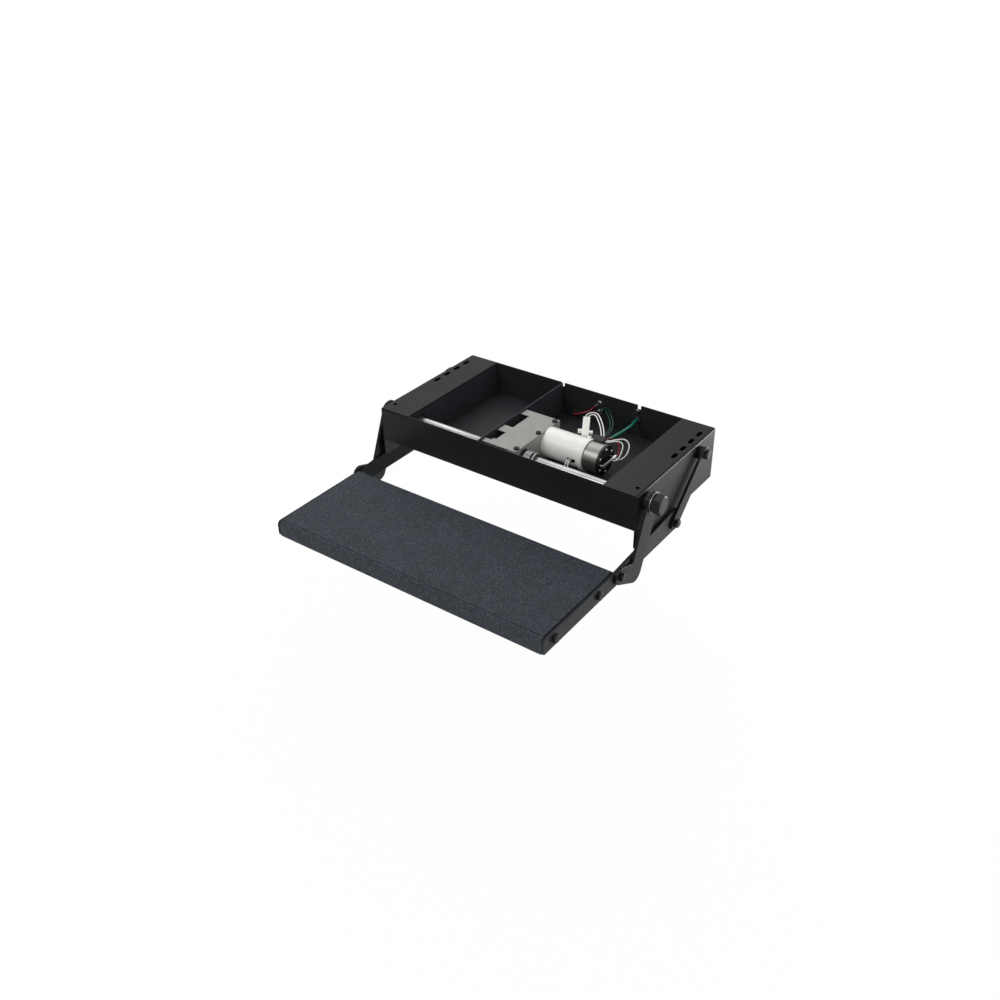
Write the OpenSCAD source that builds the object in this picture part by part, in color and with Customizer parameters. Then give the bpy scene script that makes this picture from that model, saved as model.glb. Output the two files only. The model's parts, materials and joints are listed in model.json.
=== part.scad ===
// Electric swing-out entry step for a caravan or camper.
// The origin is midway between the two front mounting holes, on the top face.
// X runs to the right, Y to the rear and Z up. All sizes are in millimetres.

/* [Housing] */
// Width over the two side panels
housing_w = 600; // [560:1:680]
// Depth from the front panel to the rear panel
housing_d = 305; // [300:1:360]
// Height of the front and rear panels
panel_h = 74; // [74:1:84]
// Height of the side panels, which hang below the floor pan as skirts
side_h = 111; // [96:1:113]
// Thickness of the folded steel sheet
sheet = 2.5; // [2:0.1:3]
// Width of the top flange of a side panel
flange_w = 72; // [66:1:80]
// Outer radius of the fold between flange and side wall
fold_r = 4; // [3.5:0.5:6]

/* [Mounting holes] */
// Distance of the front holes from the front panel
hole_setback = 27; // [20:1:40]
// Distance of the holes from the outer side face
hole_inset = 15; // [11:0.5:20]
// Radius of the front holes
hole_r = 4.25; // [3:0.25:5]
// Distance of the last slot's middle from the rear panel
slot_rear = 39.5; // [30:0.5:46]
// Distance from one slot to the next
slot_pitch = 33.5; // [27:0.5:36]
// Length of a slot from end to end
slot_l = 20; // [14:1:22]

/* [Rear panel] */
// Width of a notch in the top edge
notch_w = 8; // [5:0.5:12]
// Depth of a notch in the top edge
notch_h = 9; // [5:0.5:9]
// Distance of the left notch from the middle
notch_left = 54; // [30:1:80]
// Distance of the right notch from the middle
notch_right = 131; // [110:1:150]
// Radius of a panel screw
screw_r = 2.5; // [2:0.1:3]
// Sideways place of the two earth screws
earth_screw_x = 38; // [34:1:42]
// Depth of the upper earth screw below the top face
earth_screw_drop = 21; // [19:0.5:23]
// Distance from the upper earth screw down to the lower one
earth_screw_pitch = 21; // [20:0.5:24]
// Sideways place of the plain screw
plain_screw_x = 128; // [120:1:136]
// Depth of the plain screw below the top face
plain_screw_drop = 13; // [13:0.5:16]
// Radius of a grommet's waist
grommet_r = 5; // [4:0.25:6]

/* [Drive shaft] */
// Distance of the shaft axis behind the front panel
shaft_back = 38; // [36:1:42]
// Depth of the shaft axis below the top face
shaft_drop = 27; // [26:0.5:30]
// Radius of the shaft
shaft_r = 10; // [9:0.25:10.5]
// Wall of a shaft bush
bush_wall = 3; // [2:0.25:4]
// Width of a bush flange beyond the bush
bush_lip = 4; // [3:0.5:5]
// Thickness of an inner bush flange
bush_flange_t = 2; // [1.5:0.25:3]

/* [Swing arms] */
// How far the arm reaches forward at rest, from shaft to foot pin
arm_forward = 106; // [104:0.5:108]
// How far the foot pin lies below the shaft at rest
arm_drop = 100; // [99:0.5:101]
// Distance of the rear pivot behind the shaft
pivot_spread = 203; // [195:1:205]
// Height of the rear pivot above the shaft
pivot_rise = 3; // [2:0.5:7]
// Thickness of an arm
arm_t = 6; // [4:0.5:8]
// Radius of the front arm's head round the shaft
head_r = 22; // [20:0.5:24]
// Radius of the front arm's elbow
elbow_r = 21; // [19:0.5:22]
// Radius of the front arm's toe round the foot pin
toe_r = 16.5; // [14:0.5:18]
// How far the elbow lies in front of the shaft
elbow_forward = 52; // [46:1:54]
// How far the elbow lies below the shaft
elbow_drop = 123; // [118:1:125]
// Half the width of the rear arm
rear_arm_r = 14; // [12:0.5:16]
// Radius of the pivot pins
pin_r = 6; // [5:0.25:7]
// Width over the flats of a pin head
pin_flats = 16; // [15:0.5:21]
// Width over the flats of the tread pins' heads
tread_pin_flats = 15; // [14:0.5:18]
// Thickness of a pin head
pin_head_t = 7; // [5:0.5:9]
// Width over the flats of the big head on the shaft's right end
shaft_bolt_flats = 34; // [28:1:37]
// Thickness of the big head
shaft_bolt_head_t = 18; // [9:0.5:20]
// Width over the flats of the flat head on the shaft's left end
flat_head_flats = 24; // [20:1:30]
// Thickness of the flat head
flat_head_t = 6; // [4:0.5:8]
// Radius of the shank of both heads
shaft_bolt_r = 6; // [5:0.25:7]
// Radius of the washer under each head
shaft_washer_r = 20.5; // [20:0.5:24]
// Thickness of that washer
shaft_washer_t = 2; // [1.5:0.25:3]

/* [Tread] */
// Depth of the tread from nose to rear edge
tread_d = 227; // [200:1:240]
// How far the tread's rear edge lies in front of the foot pins
tread_gap = 9; // [4:1:14]
// How far the tread's top lies above the foot pins
tread_rise = 13; // [12:0.25:13.5]
// Height of the tread's folded edges
tread_h = 33; // [28:0.5:34]
// Radius of the tread's nose
nose_r = 8; // [6:0.5:10]
// Thickness of the grit sheet
grip_t = 1.2; // [0.8:0.1:1.8]
// Bare edge between the grit sheet and each rail
grip_edge = 1.5; // [0.5:0.5:12]
// Height of a rail beside the tread
rail_h = 31; // [29:0.5:33]
// Thickness of a rail
rail_t = 5; // [4:0.5:6]
// How far a rail's top lies below the tread's top
rail_drop = 2; // [1:0.25:4]
// How much a rail's top rises from the tread's rear edge to its rear end
rail_rise = 17; // [10:0.5:20]
// Rounding of a rail's corners
rail_corner = 9; // [6:0.5:12]
// Radius of a rail's lower front corner
rail_toe_r = 4; // [2:0.5:8]
// How far a rail runs on behind its rear pin
rail_tail = 18; // [16:0.5:22]
// Width over the flats of the rail bolts' heads
rail_bolt_flats = 15; // [13:0.5:17]
// Thickness of those heads
rail_bolt_head_t = 7; // [5:0.5:8]
// Radius of those bolts
rail_bolt_r = 4; // [3:0.25:5]
// Distance of the front rail bolts behind the nose
rail_bolt_front = 32; // [26:1:40]
// Distance of the rear rail bolts behind the nose
rail_bolt_rear = 170; // [150:1:180]
// How far the rail bolts sit below the tread's top
rail_bolt_drop = 15.5; // [13:0.5:18]
// Outer radius of the fold along the tread's rear edge
tread_fold_r = 4; // [3.5:0.5:6]

/* [Gear motor] */
// Distance of the motor axis behind the shaft axis
motor_back = 88; // [86:0.5:90]
// Depth of the motor axis below the shaft axis
motor_drop = 7; // [7:0.25:8]
// Radius of the white gear can
can_r = 31; // [30.5:0.25:32]
// Wall of the gear can
can_wall = 3; // [2.5:0.25:3.5]
// Length of the gear can
can_l = 81.5; // [78:0.5:86]
// Width of the lip at the can's open end
lip_w = 7; // [5:0.5:9]
// How far the lip stands proud of the can
lip_proud = 2; // [1:0.25:2.25]
// Radius of the steel motor housing
housing_r = 30; // [28.5:0.25:30]
// Length of the motor housing
housing_l = 45; // [44:0.5:52]
// Wall of the motor housing
housing_wall = 2; // [1.5:0.25:2.5]
// Thickness of the motor's end plate
end_plate_t = 5; // [5:0.25:7]
// Number of screws in the end plate
end_screws = 6; // [4:1:8]
// Radius of the output shaft
output_r = 6; // [5:0.25:6.5]
// Radius of the armature's shaft
rotor_shaft_r = 3; // [2.5:0.1:3.2]
// Radius of the armature's core
core_r = 21; // [18:0.5:22]
// Thickness of the magnets
magnet_t = 4; // [3:0.25:4.5]
// Gear module of the epicyclic stage
tooth_size = 1; // [0.9:0.05:1]
// Play between meshing teeth
backlash = 0.25; // [0.22:0.01:0.35]

/* [Crank drive] */
// Thickness of the lever and of the crank
crank_t = 8; // [6:0.5:9]
// Distance from an axis to its crank pin
crank_reach = 26; // [25:0.25:26.5]
// Radius of the eye round a crank pin
eye_r = 8.5; // [8:0.25:9]
// Radius of a crank pin
crank_pin_r = 5; // [4:0.25:5.5]
// Thickness of the link
link_t = 5; // [4:0.25:6]
// Half the width of the link between its eyes
link_half_w = 6.5; // [5:0.25:7]
// Radius of the lever's hub
lever_hub_r = 17; // [15:0.5:17.5]
// Radius of the crank's hub
crank_hub_r = 13; // [11:0.5:14]

/* [Cover] */
// Sideways place of the partition's right face
partition_x = -53.5; // [-60:0.5:-50]
// Sideways place of the motor plate's right face
motor_plate_x = 28.5; // [24:0.5:34]
// Depth of the cover's top below the top face
cover_drop = 4; // [4:0.1:4.5]
// Thickness of the cover
cover_t = 2; // [1.5:0.25:2.25]
// Distance of the cover's front edge behind the front panel
cover_back = 13; // [8:0.5:16]
// Depth of the cover from front to rear
cover_d = 153; // [150:1:170]
// Width of the motor plate's top flange
plate_flange_w = 20; // [16:0.5:24]
// How far the notches reach in from the cover's left edge
cover_notch_w = 21; // [16:0.5:24]
// Start of the front notch behind the cover's front edge
front_notch_back = 13; // [10:0.5:18]
// Length of the front notch
front_notch_l = 40; // [34:0.5:46]
// Start of the rear notch behind the cover's front edge
rear_notch_back = 76; // [70:0.5:82]
// Length of the rear notch
rear_notch_l = 57; // [50:0.5:62]
// Distance of the first and the last cover bolt from the cover's ends
cover_bolt_end = 10.5; // [8:0.5:13]
// Distance of the middle cover bolt behind the cover's front edge
cover_bolt_middle = 85; // [70:1:95]
// Distance of the cover bolts from the motor plate's right face
cover_bolt_edge = 6; // [5:0.25:12]
// Width over the flats of a cover bolt
cover_bolt_flats = 10; // [8:0.5:12]
// Thickness of a cover bolt's head
cover_bolt_head_t = 3.4; // [2.5:0.1:3.6]
// Radius of a cover bolt
cover_bolt_r = 3; // [2.5:0.1:3.5]

/* [Spring] */
// Radius of the spring wire
wire_r = 1.5; // [1.2:0.1:1.6]
// Mean radius of the spring
coil_r = 14.5; // [14:0.25:16]
// Number of curls
curls = 4; // [3:1:5]
// Rise of one curl
curl_rise = 3.6; // [3.5:0.1:5]
// Width of the collar that holds the spring
collar_w = 4; // [3:0.5:12]

/* [Wiring] */
// Diameter of a wire
wire_d = 2.6; // [2:0.1:3]
// Diameter of a thin green wire
thin_wire_d = 2; // [1.6:0.1:2.2]
// Diameter of the green cable
cable_d = 6; // [5:0.25:7]

/* [Hidden] */
$fn = 48;

// Clearances: a fixed seat, a running fit, the play beside a moving part and a bolt in its hole
seat_gap = 0.05;
run_gap = 0.05;
side_play = 0.5;
bolt_gap = 0.25;
// Overrun of a cut past the face that it opens
past = 1;

// Main planes
half_w = housing_w / 2;
front_y = -hole_setback;
rear_y = front_y + housing_d;
floor_top = sheet - panel_h;
inner_x = half_w - flange_w;
hole_x = half_w - hole_inset;

// Pivots seen from the side, as [Y, Z]
shaft_at = [front_y + shaft_back, -shaft_drop];
arm_step = [-arm_forward, -arm_drop];
link_step = [pivot_spread, pivot_rise];
pivot_at = shaft_at + link_step;
foot_at = shaft_at + arm_step;
rail_pin_at = foot_at + link_step;
elbow_at = shaft_at + [-elbow_forward, -elbow_drop];
motor_at = shaft_at + [motor_back, -motor_drop];

// Layers outside a side panel
rail_x = half_w + sheet;
arm_x = rail_x + rail_t + side_play;
arm_out = arm_x + arm_t;

// Tread planes
tread_top = foot_at[1] + tread_rise;
tread_rear = foot_at[0] - tread_gap;
tread_front = tread_rear - tread_d;
tread_low = tread_top - tread_h;
rail_top = tread_top - rail_drop;
rail_bolt_z = tread_top - rail_bolt_drop;

// Crank drive: the cranks point down and forward at rest
crank_step = crank_reach * [cos(225), sin(225)];
crank_x = partition_x + crank_t - side_play;
link_x = crank_x + crank_t + side_play;
lever_pin_at = shaft_at + crank_step;
crank_pin_at = motor_at + crank_step;

// Gear motor stations along X
can_x = motor_plate_x;
can_end = can_x + can_l;
housing_end = can_end + housing_l;
plate_end = housing_end + end_plate_t;
can_floor = 4;
sun_teeth = 12;
planet_teeth = 18;
carrier_x = can_x + can_floor + side_play;
carrier_t = 5;
gear_x = carrier_x + carrier_t + side_play;
gear_w = 10;
sun_pitch_r = tooth_size * sun_teeth / 2;
planet_pitch_r = tooth_size * planet_teeth / 2;
ring_teeth = sun_teeth + 2 * planet_teeth;
planet_reach = sun_pitch_r + planet_pitch_r;
planet_pin_r = 3;
planet_up = [0, planet_reach];
housing_floor = 3;

// Cover planes
cover_top = -cover_drop;
cover_low = cover_top - cover_t;
cover_front = front_y + cover_back;
cover_rear = cover_front + cover_d;
cover_bolt_x = motor_plate_x - cover_bolt_edge;
cover_bolt_y = [cover_front + cover_bolt_end, cover_front + cover_bolt_middle, cover_rear - cover_bolt_end];
cover_notches = [[front_notch_back, front_notch_l], [rear_notch_back, rear_notch_l]];

// Inside face of the rear panel, where screws and cables end
wall_y = rear_y - sheet;
notch_x = [-notch_left, notch_right];
earth_screw_low = earth_screw_drop + earth_screw_pitch;
earth_screws = [[earth_screw_x, -earth_screw_drop], [earth_screw_x, -earth_screw_low]];
screw_at = concat(earth_screws, [[plain_screw_x, -plain_screw_drop]]);
screw_head_t = 3;
supply_grommet_rise = 11.5;
supply_grommet_at = [-20, floor_top + supply_grommet_rise];
cable_grommet_at = [130, -31];
grommet_at = [supply_grommet_at, cable_grommet_at];
grommet_lip = 2;
grommet_inner_t = 3.5;
grommet_outer_t = 2;

// Ring terminals under the earth screws: the barrels lie flat against the panel, turned to their wires
terminal_t = 1.2;
ring_r = 6;
barrel_r = 2.6;
barrel_l = 9;
barrel_start = ring_r - 1;
barrel_y = wall_y - barrel_r - 0.1;
barrel_turns = [225, 45];
function barrel_point(i, reach, shift = 0) =
    let (way = [cos(barrel_turns[i]), sin(barrel_turns[i])],
        at = earth_screws[i] + (barrel_start + barrel_l + reach) * way + shift * [-way[1], way[0]])
        [at[0], barrel_y, at[1]];

// Fittings round the motor, as steps from the middle of the can's open end
connector_foot = [-9.2, 17.9, 25];
connector_turn = 29.4;
connector_size = [14, 75, 10];
connector_wires = 3;
block_low = [4, 13, 8];
block_size = [28, 20, 22];
motor_middle = [can_end, motor_at[0], motor_at[1]];
function connector_end(shift, reach) =
    motor_middle + connector_foot
        + (connector_size[1] + reach) * [-sin(connector_turn), cos(connector_turn), 0]
        + shift * [cos(connector_turn), sin(connector_turn), 0];

// Bridge on the end plate, and the switch on the floor beside the motor plate
post_stand = 6;
bridge_x = plate_end + post_stand;
bridge_t = 4;
bridge_l = 50;
bridge_h = 6;
bridge_middle = [bridge_x + bridge_t, motor_at[0], motor_at[1]];
switch_size = [20.5, 20, 14];
switch_back = 29;
switch_low = [motor_plate_x, shaft_at[0] + switch_back, floor_top];
switch_end = switch_low + [switch_size[0], switch_size[1] / 2, switch_size[2] / 2];

// Wire routes: points chosen by eye, as steps from the fitting that each stretch lies by
function from(base, steps) = [for (s = steps) base + s];
wall_middle = [0, wall_y, 0];
white_a_route = concat(
    [connector_end(-connector_wires, 0), connector_end(-connector_wires, 8)],
    from(motor_middle, [[-54, 98.5, 26], [-49, 107, 27.5], [-39, 109, 28], [-26, 100, 28], [-11, 84, 27],
        [3, 67, 26], [14, 51, 25], [19, 42, 24], [19, 33, 24]]));
white_b_route = concat(
    [connector_end(connector_wires, 0), connector_end(connector_wires, 7)],
    from(motor_middle, [[-47, 97.5, 26], [-42, 101.5, 27.5], [-34, 98.5, 28], [-20, 85, 27], [-5, 68, 26],
        [6, 53, 25], [13, 42, 24], [13, 33, 24]]));
loop_a_route = concat(
    from(motor_middle, [[32, 25, 25], [38, 25, 25], [48, 32, 26.5]]),
    from(bridge_middle, [[-2, 38, 26], [5, 37, 22], [8.5, 29, 15], [10, 18, 7], [8, 9, 0], [0, 9, 0]]));
loop_b_route = concat(
    from(motor_middle, [[32, 31, 25], [39, 31, 25], [50, 40, 27.5]]),
    from(bridge_middle, [[2, 48, 28], [12, 47, 24], [17.5, 39, 16], [18, 27, 7], [10, 18, 0], [0, 18, 0]]));
red_lead_route = concat(
    from(motor_middle, [[26, 33, 22], [26, 41, 22], [35, 50, 19]]),
    from(bridge_middle, [[-12, 49, 13], [-5, 42, 5], [-2, 33, 0], [-2, bridge_l / 2, 0]]));
red_route = concat(
    from(wall_middle + [supply_grommet_at[0], -grommet_inner_t, supply_grommet_at[1]],
        [[0, 0, 0], [0, -6, 0], [6, -11, 3], [20, -11, 10]]),
    [barrel_point(0, 18) + [0, -5, 0], barrel_point(0, 7), barrel_point(0, 0)]);
green_a_route = concat(
    [barrel_point(1, 0, 1.1), barrel_point(1, 6, 1.1)],
    from(wall_middle, [[63, -16.5, -25], [84, -41.5, -21], [104, -68.5, -18]]),
    from(motor_middle, [[7, 83, 17], [11, 61, 18], [7, 46, 19], [7, 33, 19]]));
green_b_route = concat(
    [barrel_point(1, 0, -1.1), barrel_point(1, 9, -1.1)],
    from(wall_middle, [[70, -15.5, -22], [90, -41.5, -17], [110, -68.5, -14]]),
    from(motor_middle, [[13, 83, 21], [17, 63, 19.5], [13, 48, 18], [13, 33, 18]]));
green_cable_route = concat(
    from(motor_middle, [[23, 33, 14], [23, 47, 14], [26, 70, 13], [30, 101, 13]]),
    from(wall_middle + [cable_grommet_at[0], -grommet_inner_t, cable_grommet_at[1]],
        [[9, -40, 7], [2, -20, 1], [0, -8, 0], [0, 0, 0]]));
switch_route = concat(
    from(motor_middle, [[-18, can_wall - can_r, -4], [-18, -38, -4], [-19, -44, -11]]),
    from(switch_end, [[37, 3, 9.5], [25, 1, 2.5], [13, 0, 0.5], [0, 0, 0.5]]));

black = "#2b2c2e";
dark = "#1d1e20";
zinc = "#c9cac8";
grey_zinc = "#a9aaa6";
white = "#ecebe6";

// Helpers

// Solid drawn in the side view, from x0 to x1
module side_plate(x0, x1) {
    translate([x0, 0, 0])
        rotate([90, 0, 90])
            linear_extrude(x1 - x0)
                children();
}

// Solid drawn in the front view, from y0 to y1
module front_plate(y0, y1) {
    translate([0, y1, 0])
        rotate([90, 0, 0])
            linear_extrude(y1 - y0)
                children();
}

// Round bar along X about a point of the side view
module x_bar(x0, x1, at, r, sides = $fn) {
    translate([x0, at[0], at[1]])
        rotate([90, 0, 90])
            cylinder(h = x1 - x0, r = r, $fn = sides);
}

// Round bar along Y about a point of the front view
module y_bar(y0, y1, at, r, sides = $fn) {
    translate([at[0], y1, at[1]])
        rotate([90, 0, 0])
            cylinder(h = y1 - y0, r = r, $fn = sides);
}

// Round bar along Z about a point of the top view
module z_bar(z0, z1, at, r, sides = $fn) {
    translate([at[0], at[1], z0])
        cylinder(h = z1 - z0, r = r, $fn = sides);
}

// Hexagon radius from its width over the flats
function hex_r(flats) = flats / 2 / cos(30);

// The right-hand piece as it is, or mirrored to the left
module on_side(side) {
    mirror([side < 0 ? 1 : 0, 0, 0])
        children();
}

module both_sides() {
    for (side = [-1, 1])
        on_side(side)
            children();
}

// Points of an arc about c from angle a0 to a1
function arc(c, r, a0, a1, steps = 8) =
    [for (i = [0 : steps]) c + r * [cos(a0 + (a1 - a0) * i / steps), sin(a0 + (a1 - a0) * i / steps)]];

// Outline round two circles of unlike radius
module tapered_bar(p, rp, q, rq) {
    run = q - p;
    along = atan2(run[1], run[0]);
    lean = acos((rp - rq) / norm(run));
    up = [cos(along + lean), sin(along + lean)];
    down = [cos(along - lean), sin(along - lean)];
    translate(p)
        circle(r = rp);
    translate(q)
        circle(r = rq);
    polygon([p + rp * up, q + rq * up, q + rq * down, p + rp * down]);
}

// Swept tubes: directions along the route, a frame carried along it, then rings and faces
function unit(v) = v / norm(v);
function heading(p, i) =
    i == 0 ? unit(p[1] - p[0])
    : i == len(p) - 1 ? unit(p[i] - p[i - 1])
    : unit(unit(p[i + 1] - p[i]) + unit(p[i] - p[i - 1]));
function square_to(n, t) = unit(n - (n * t) * t);
function first_normal(t) = square_to(abs(t[2]) < 0.8 ? [0, 0, 1] : [0, 1, 0], t);
function frames(p) =
    [for (i = 0, n = first_normal(heading(p, 0)); i < len(p);
        i = i + 1, n = i < len(p) ? square_to(n, heading(p, i)) : n) n];

module tube(p, r, sides) {
    normals = frames(p);
    last = len(p) - 1;
    points = [for (i = [0 : last], k = [0 : sides - 1])
        let (t = heading(p, i), n = normals[i], a = 360 * k / sides)
            p[i] + r * (cos(a) * n + sin(a) * cross(t, n))];
    walls = [for (i = [0 : last - 1], k = [0 : sides - 1])
        let (a = i * sides + k, b = i * sides + (k + 1) % sides)
            each [[a, a + sides, b + sides], [a, b + sides, b]]];
    start_cap = [for (k = [1 : sides - 2]) [0, k, k + 1]];
    end_cap = [for (k = [1 : sides - 2]) [last * sides, last * sides + k + 1, last * sides + k]];
    polyhedron(points, concat(walls, start_cap, end_cap));
}

module wire(route, d) {
    tube(route, d / 2, 8);
}

// Gear outline: half the tooth's width at a radius, then four corners for each tooth
function tooth_half(r, pitch_r, slope) =
    PI * tooth_size / 4 - backlash / 2 - slope * (r - pitch_r) * tan(20);
function tooth_corner(r, half, middle) = r * [cos(middle + asin(half / r)), sin(middle + asin(half / r))];
function gear_outline(teeth, foot_r, tip_r, slope, turn) =
    [for (i = [0 : teeth - 1], k = [0 : 3])
        let (r = k == 0 || k == 3 ? foot_r : tip_r,
            half = tooth_half(r, tooth_size * teeth / 2, slope),
            middle = turn + 360 * i / teeth)
            tooth_corner(r, k < 2 ? -half : half, middle)];
addendum = 0.8 * tooth_size;
dedendum = 1.15 * tooth_size;

module outer_gear(teeth, turn) {
    pitch_r = tooth_size * teeth / 2;
    polygon(gear_outline(teeth, pitch_r - dedendum, pitch_r + addendum, 1, turn));
}

module inner_gear_space() {
    pitch_r = tooth_size * ring_teeth / 2;
    polygon(gear_outline(ring_teeth, pitch_r + dedendum, pitch_r - addendum, -1, 90));
}

// Housing

module side_panel_profile() {
    bend = [half_w - fold_r, -fold_r];
    polygon(concat(
        [[inner_x, 0]],
        arc(bend, fold_r, 90, 0),
        [[half_w, -side_h], [half_w - sheet, -side_h]],
        arc(bend, fold_r - sheet, 0, 90),
        [[inner_x, -sheet]]));
}

module slot_cut(y) {
    end = (slot_l - 2 * hole_r) / 2;
    for (shift = [-end, end])
        z_bar(-sheet - past, past, [hole_x, y + shift], hole_r);
    translate([hole_x - hole_r, y - end, -sheet - past])
        cube([2 * hole_r, 2 * end, sheet + 2 * past]);
}

module side_panel() {
    color(black)
        difference() {
            front_plate(front_y, rear_y)
                side_panel_profile();
            z_bar(-sheet - past, past, [hole_x, 0], hole_r);
            for (i = [0 : 3])
                slot_cut(rear_y - slot_rear - i * slot_pitch);
            x_bar(half_w - sheet - past, half_w + past, shaft_at, bush_out_r + seat_gap);
            x_bar(half_w - sheet - past, half_w + past, pivot_at, pin_r + bolt_gap);
        }
}

module inner_wall() {
    color(black)
        difference() {
            translate([inner_x, front_y + sheet, floor_top])
                cube([sheet, housing_d - 2 * sheet, -sheet - floor_top]);
            x_bar(inner_x - past, inner_x + sheet + past, shaft_at, bush_out_r + seat_gap);
        }
}

// End panels fit between the side walls and under the flanges
module end_panel_outline() {
    edge = half_w - sheet;
    polygon([[-edge, -panel_h], [edge, -panel_h], [edge, -fold_r], [inner_x, -fold_r], [inner_x, 0],
        [-inner_x, 0], [-inner_x, -fold_r], [-edge, -fold_r]]);
}

module front_panel() {
    color(black)
        front_plate(front_y, front_y + sheet)
            end_panel_outline();
}

module rear_panel() {
    color(black)
        difference() {
            front_plate(wall_y, rear_y)
                end_panel_outline();
            for (x = notch_x)
                translate([x - notch_w / 2, wall_y - past, -notch_h])
                    cube([notch_w, sheet + 2 * past, notch_h + past]);
            for (at = screw_at)
                y_bar(wall_y - past, rear_y + past, at, screw_r + bolt_gap);
            for (at = grommet_at)
                y_bar(wall_y - past, rear_y + past, at, grommet_r + seat_gap);
        }
}

module floor_pan() {
    color(black)
        translate([sheet - half_w, front_y + sheet, -panel_h])
            cube([housing_w - 2 * sheet, housing_d - 2 * sheet, sheet]);
}

module partition() {
    color(black)
        difference() {
            translate([partition_x - sheet, front_y + sheet, floor_top])
                cube([sheet, housing_d - 2 * sheet, -floor_top]);
            x_bar(partition_x - sheet - past, partition_x + past, shaft_at, bush_out_r + seat_gap);
            x_bar(partition_x - sheet - past, partition_x + past, motor_at, crank_bush_r + seat_gap);
        }
}

// Cover over the crank drive, and the plate that carries the gear motor

module gear_cover() {
    color(zinc)
        difference() {
            translate([partition_x, cover_front, cover_low])
                cube([motor_plate_x - partition_x, cover_d, cover_t]);
            for (notch = cover_notches)
                translate([partition_x - past, cover_front + notch[0], cover_low - past])
                    cube([cover_notch_w + past, notch[1], cover_t + 2 * past]);
            for (y = cover_bolt_y)
                z_bar(cover_low - past, cover_top + past, [cover_bolt_x, y], cover_bolt_r + bolt_gap);
        }
}

module motor_plate() {
    flange_low = cover_low - sheet;
    left_x = motor_plate_x - sheet;
    color(grey_zinc)
        difference() {
            union() {
                translate([left_x, cover_front, floor_top])
                    cube([sheet, cover_d, cover_low - floor_top]);
                translate([motor_plate_x - plate_flange_w, cover_front, flange_low])
                    cube([plate_flange_w, cover_d, sheet]);
            }
            x_bar(left_x - past, motor_plate_x + past, shaft_at, bush_out_r + seat_gap);
            x_bar(left_x - past, motor_plate_x + past, motor_at, output_r + side_play);
            for (y = cover_bolt_y)
                z_bar(flange_low - past, cover_low + past, [cover_bolt_x, y], cover_bolt_r + seat_gap);
        }
}

module cover_bolts() {
    color(dark)
        for (y = cover_bolt_y) {
            z_bar(cover_top, cover_top + cover_bolt_head_t, [cover_bolt_x, y], hex_r(cover_bolt_flats), 6);
            z_bar(cover_low - sheet, cover_top, [cover_bolt_x, y], cover_bolt_r);
        }
}

// Bushes

bush_out_r = shaft_r + run_gap + bush_wall;
bush_flange_r = bush_out_r + bush_lip;
crank_bush_r = output_r + run_gap + bush_wall;

// Flanged bush whose flange reaches from x0 to x1 and whose neck fills the sheet beyond
module flanged_bush(flange_x, neck_x, at, bore_r, neck_r, flange_r) {
    neck_low = min(flange_x[0], neck_x);
    neck_high = max(flange_x[1], neck_x);
    difference() {
        union() {
            x_bar(flange_x[0], flange_x[1], at, flange_r);
            x_bar(neck_low, neck_high, at, neck_r);
        }
        x_bar(neck_low - past, neck_high + past, at, bore_r);
    }
}

module outer_shaft_bushes() {
    color(dark)
        both_sides()
            flanged_bush([half_w, arm_x - side_play / 2], half_w - sheet, shaft_at,
                shaft_r + run_gap, bush_out_r, bush_flange_r);
}

module inner_shaft_bushes() {
    color(grey_zinc) {
        both_sides()
            flanged_bush([inner_x - bush_flange_t, inner_x], inner_x + sheet, shaft_at,
                shaft_r + run_gap, bush_out_r, bush_flange_r);
        flanged_bush([partition_x - sheet - bush_flange_t, partition_x - sheet], partition_x, shaft_at,
            shaft_r + run_gap, bush_out_r, bush_flange_r);
        flanged_bush([motor_plate_x, motor_plate_x + bush_flange_t], motor_plate_x - sheet, shaft_at,
            shaft_r + run_gap, bush_out_r, bush_flange_r);
    }
}

module crank_bush() {
    color(grey_zinc)
        flanged_bush([partition_x - sheet - bush_flange_t, partition_x - sheet], partition_x, motor_at,
            output_r + run_gap, crank_bush_r, crank_bush_r + bush_lip);
}

// Gear motor

// Slot in the front of the can, where the switch wire comes out
slot_low = [-20, -can_r - past, -8];
slot_size = [8, can_r, 8];

module gear_can() {
    color(white)
        difference() {
            union() {
                x_bar(can_x, can_end, motor_at, can_r);
                x_bar(can_end - lip_w, can_end, motor_at, can_r + lip_proud);
            }
            x_bar(can_x - past, can_end, motor_at, output_r + run_gap);
            x_bar(can_x + can_floor, gear_x, motor_at, can_r - can_wall);
            translate([gear_x - past, 0, 0])
                side_plate(0, gear_w + 2 * past)
                    translate(motor_at)
                        inner_gear_space();
            x_bar(gear_x + gear_w, can_end + past, motor_at, can_r - can_wall);
            translate(motor_middle + slot_low)
                cube(slot_size);
        }
}

module motor_housing() {
    color(zinc)
        difference() {
            x_bar(can_end, housing_end, motor_at, housing_r);
            x_bar(can_end + housing_floor, housing_end + past, motor_at, housing_r - housing_wall);
            x_bar(can_end - past, housing_end, motor_at, rotor_shaft_r + run_gap);
        }
}

magnet_end = 5;
magnet_x = [can_end + housing_floor + 3, housing_end - magnet_end];

module motor_magnets() {
    out_r = housing_r - housing_wall - seat_gap;
    color("#4a4644")
        difference() {
            x_bar(magnet_x[0], magnet_x[1], motor_at, out_r);
            x_bar(magnet_x[0] - past, magnet_x[1] + past, motor_at, out_r - magnet_t);
            for (side = [-1, 1])
                translate([magnet_x[0] - past, motor_at[0] + side * out_r, motor_at[1]])
                    rotate([45, 0, 0])
                        translate([0, -out_r / 2, -out_r / 2])
                            cube([magnet_x[1] - magnet_x[0] + 2 * past, out_r, out_r]);
        }
}

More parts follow.
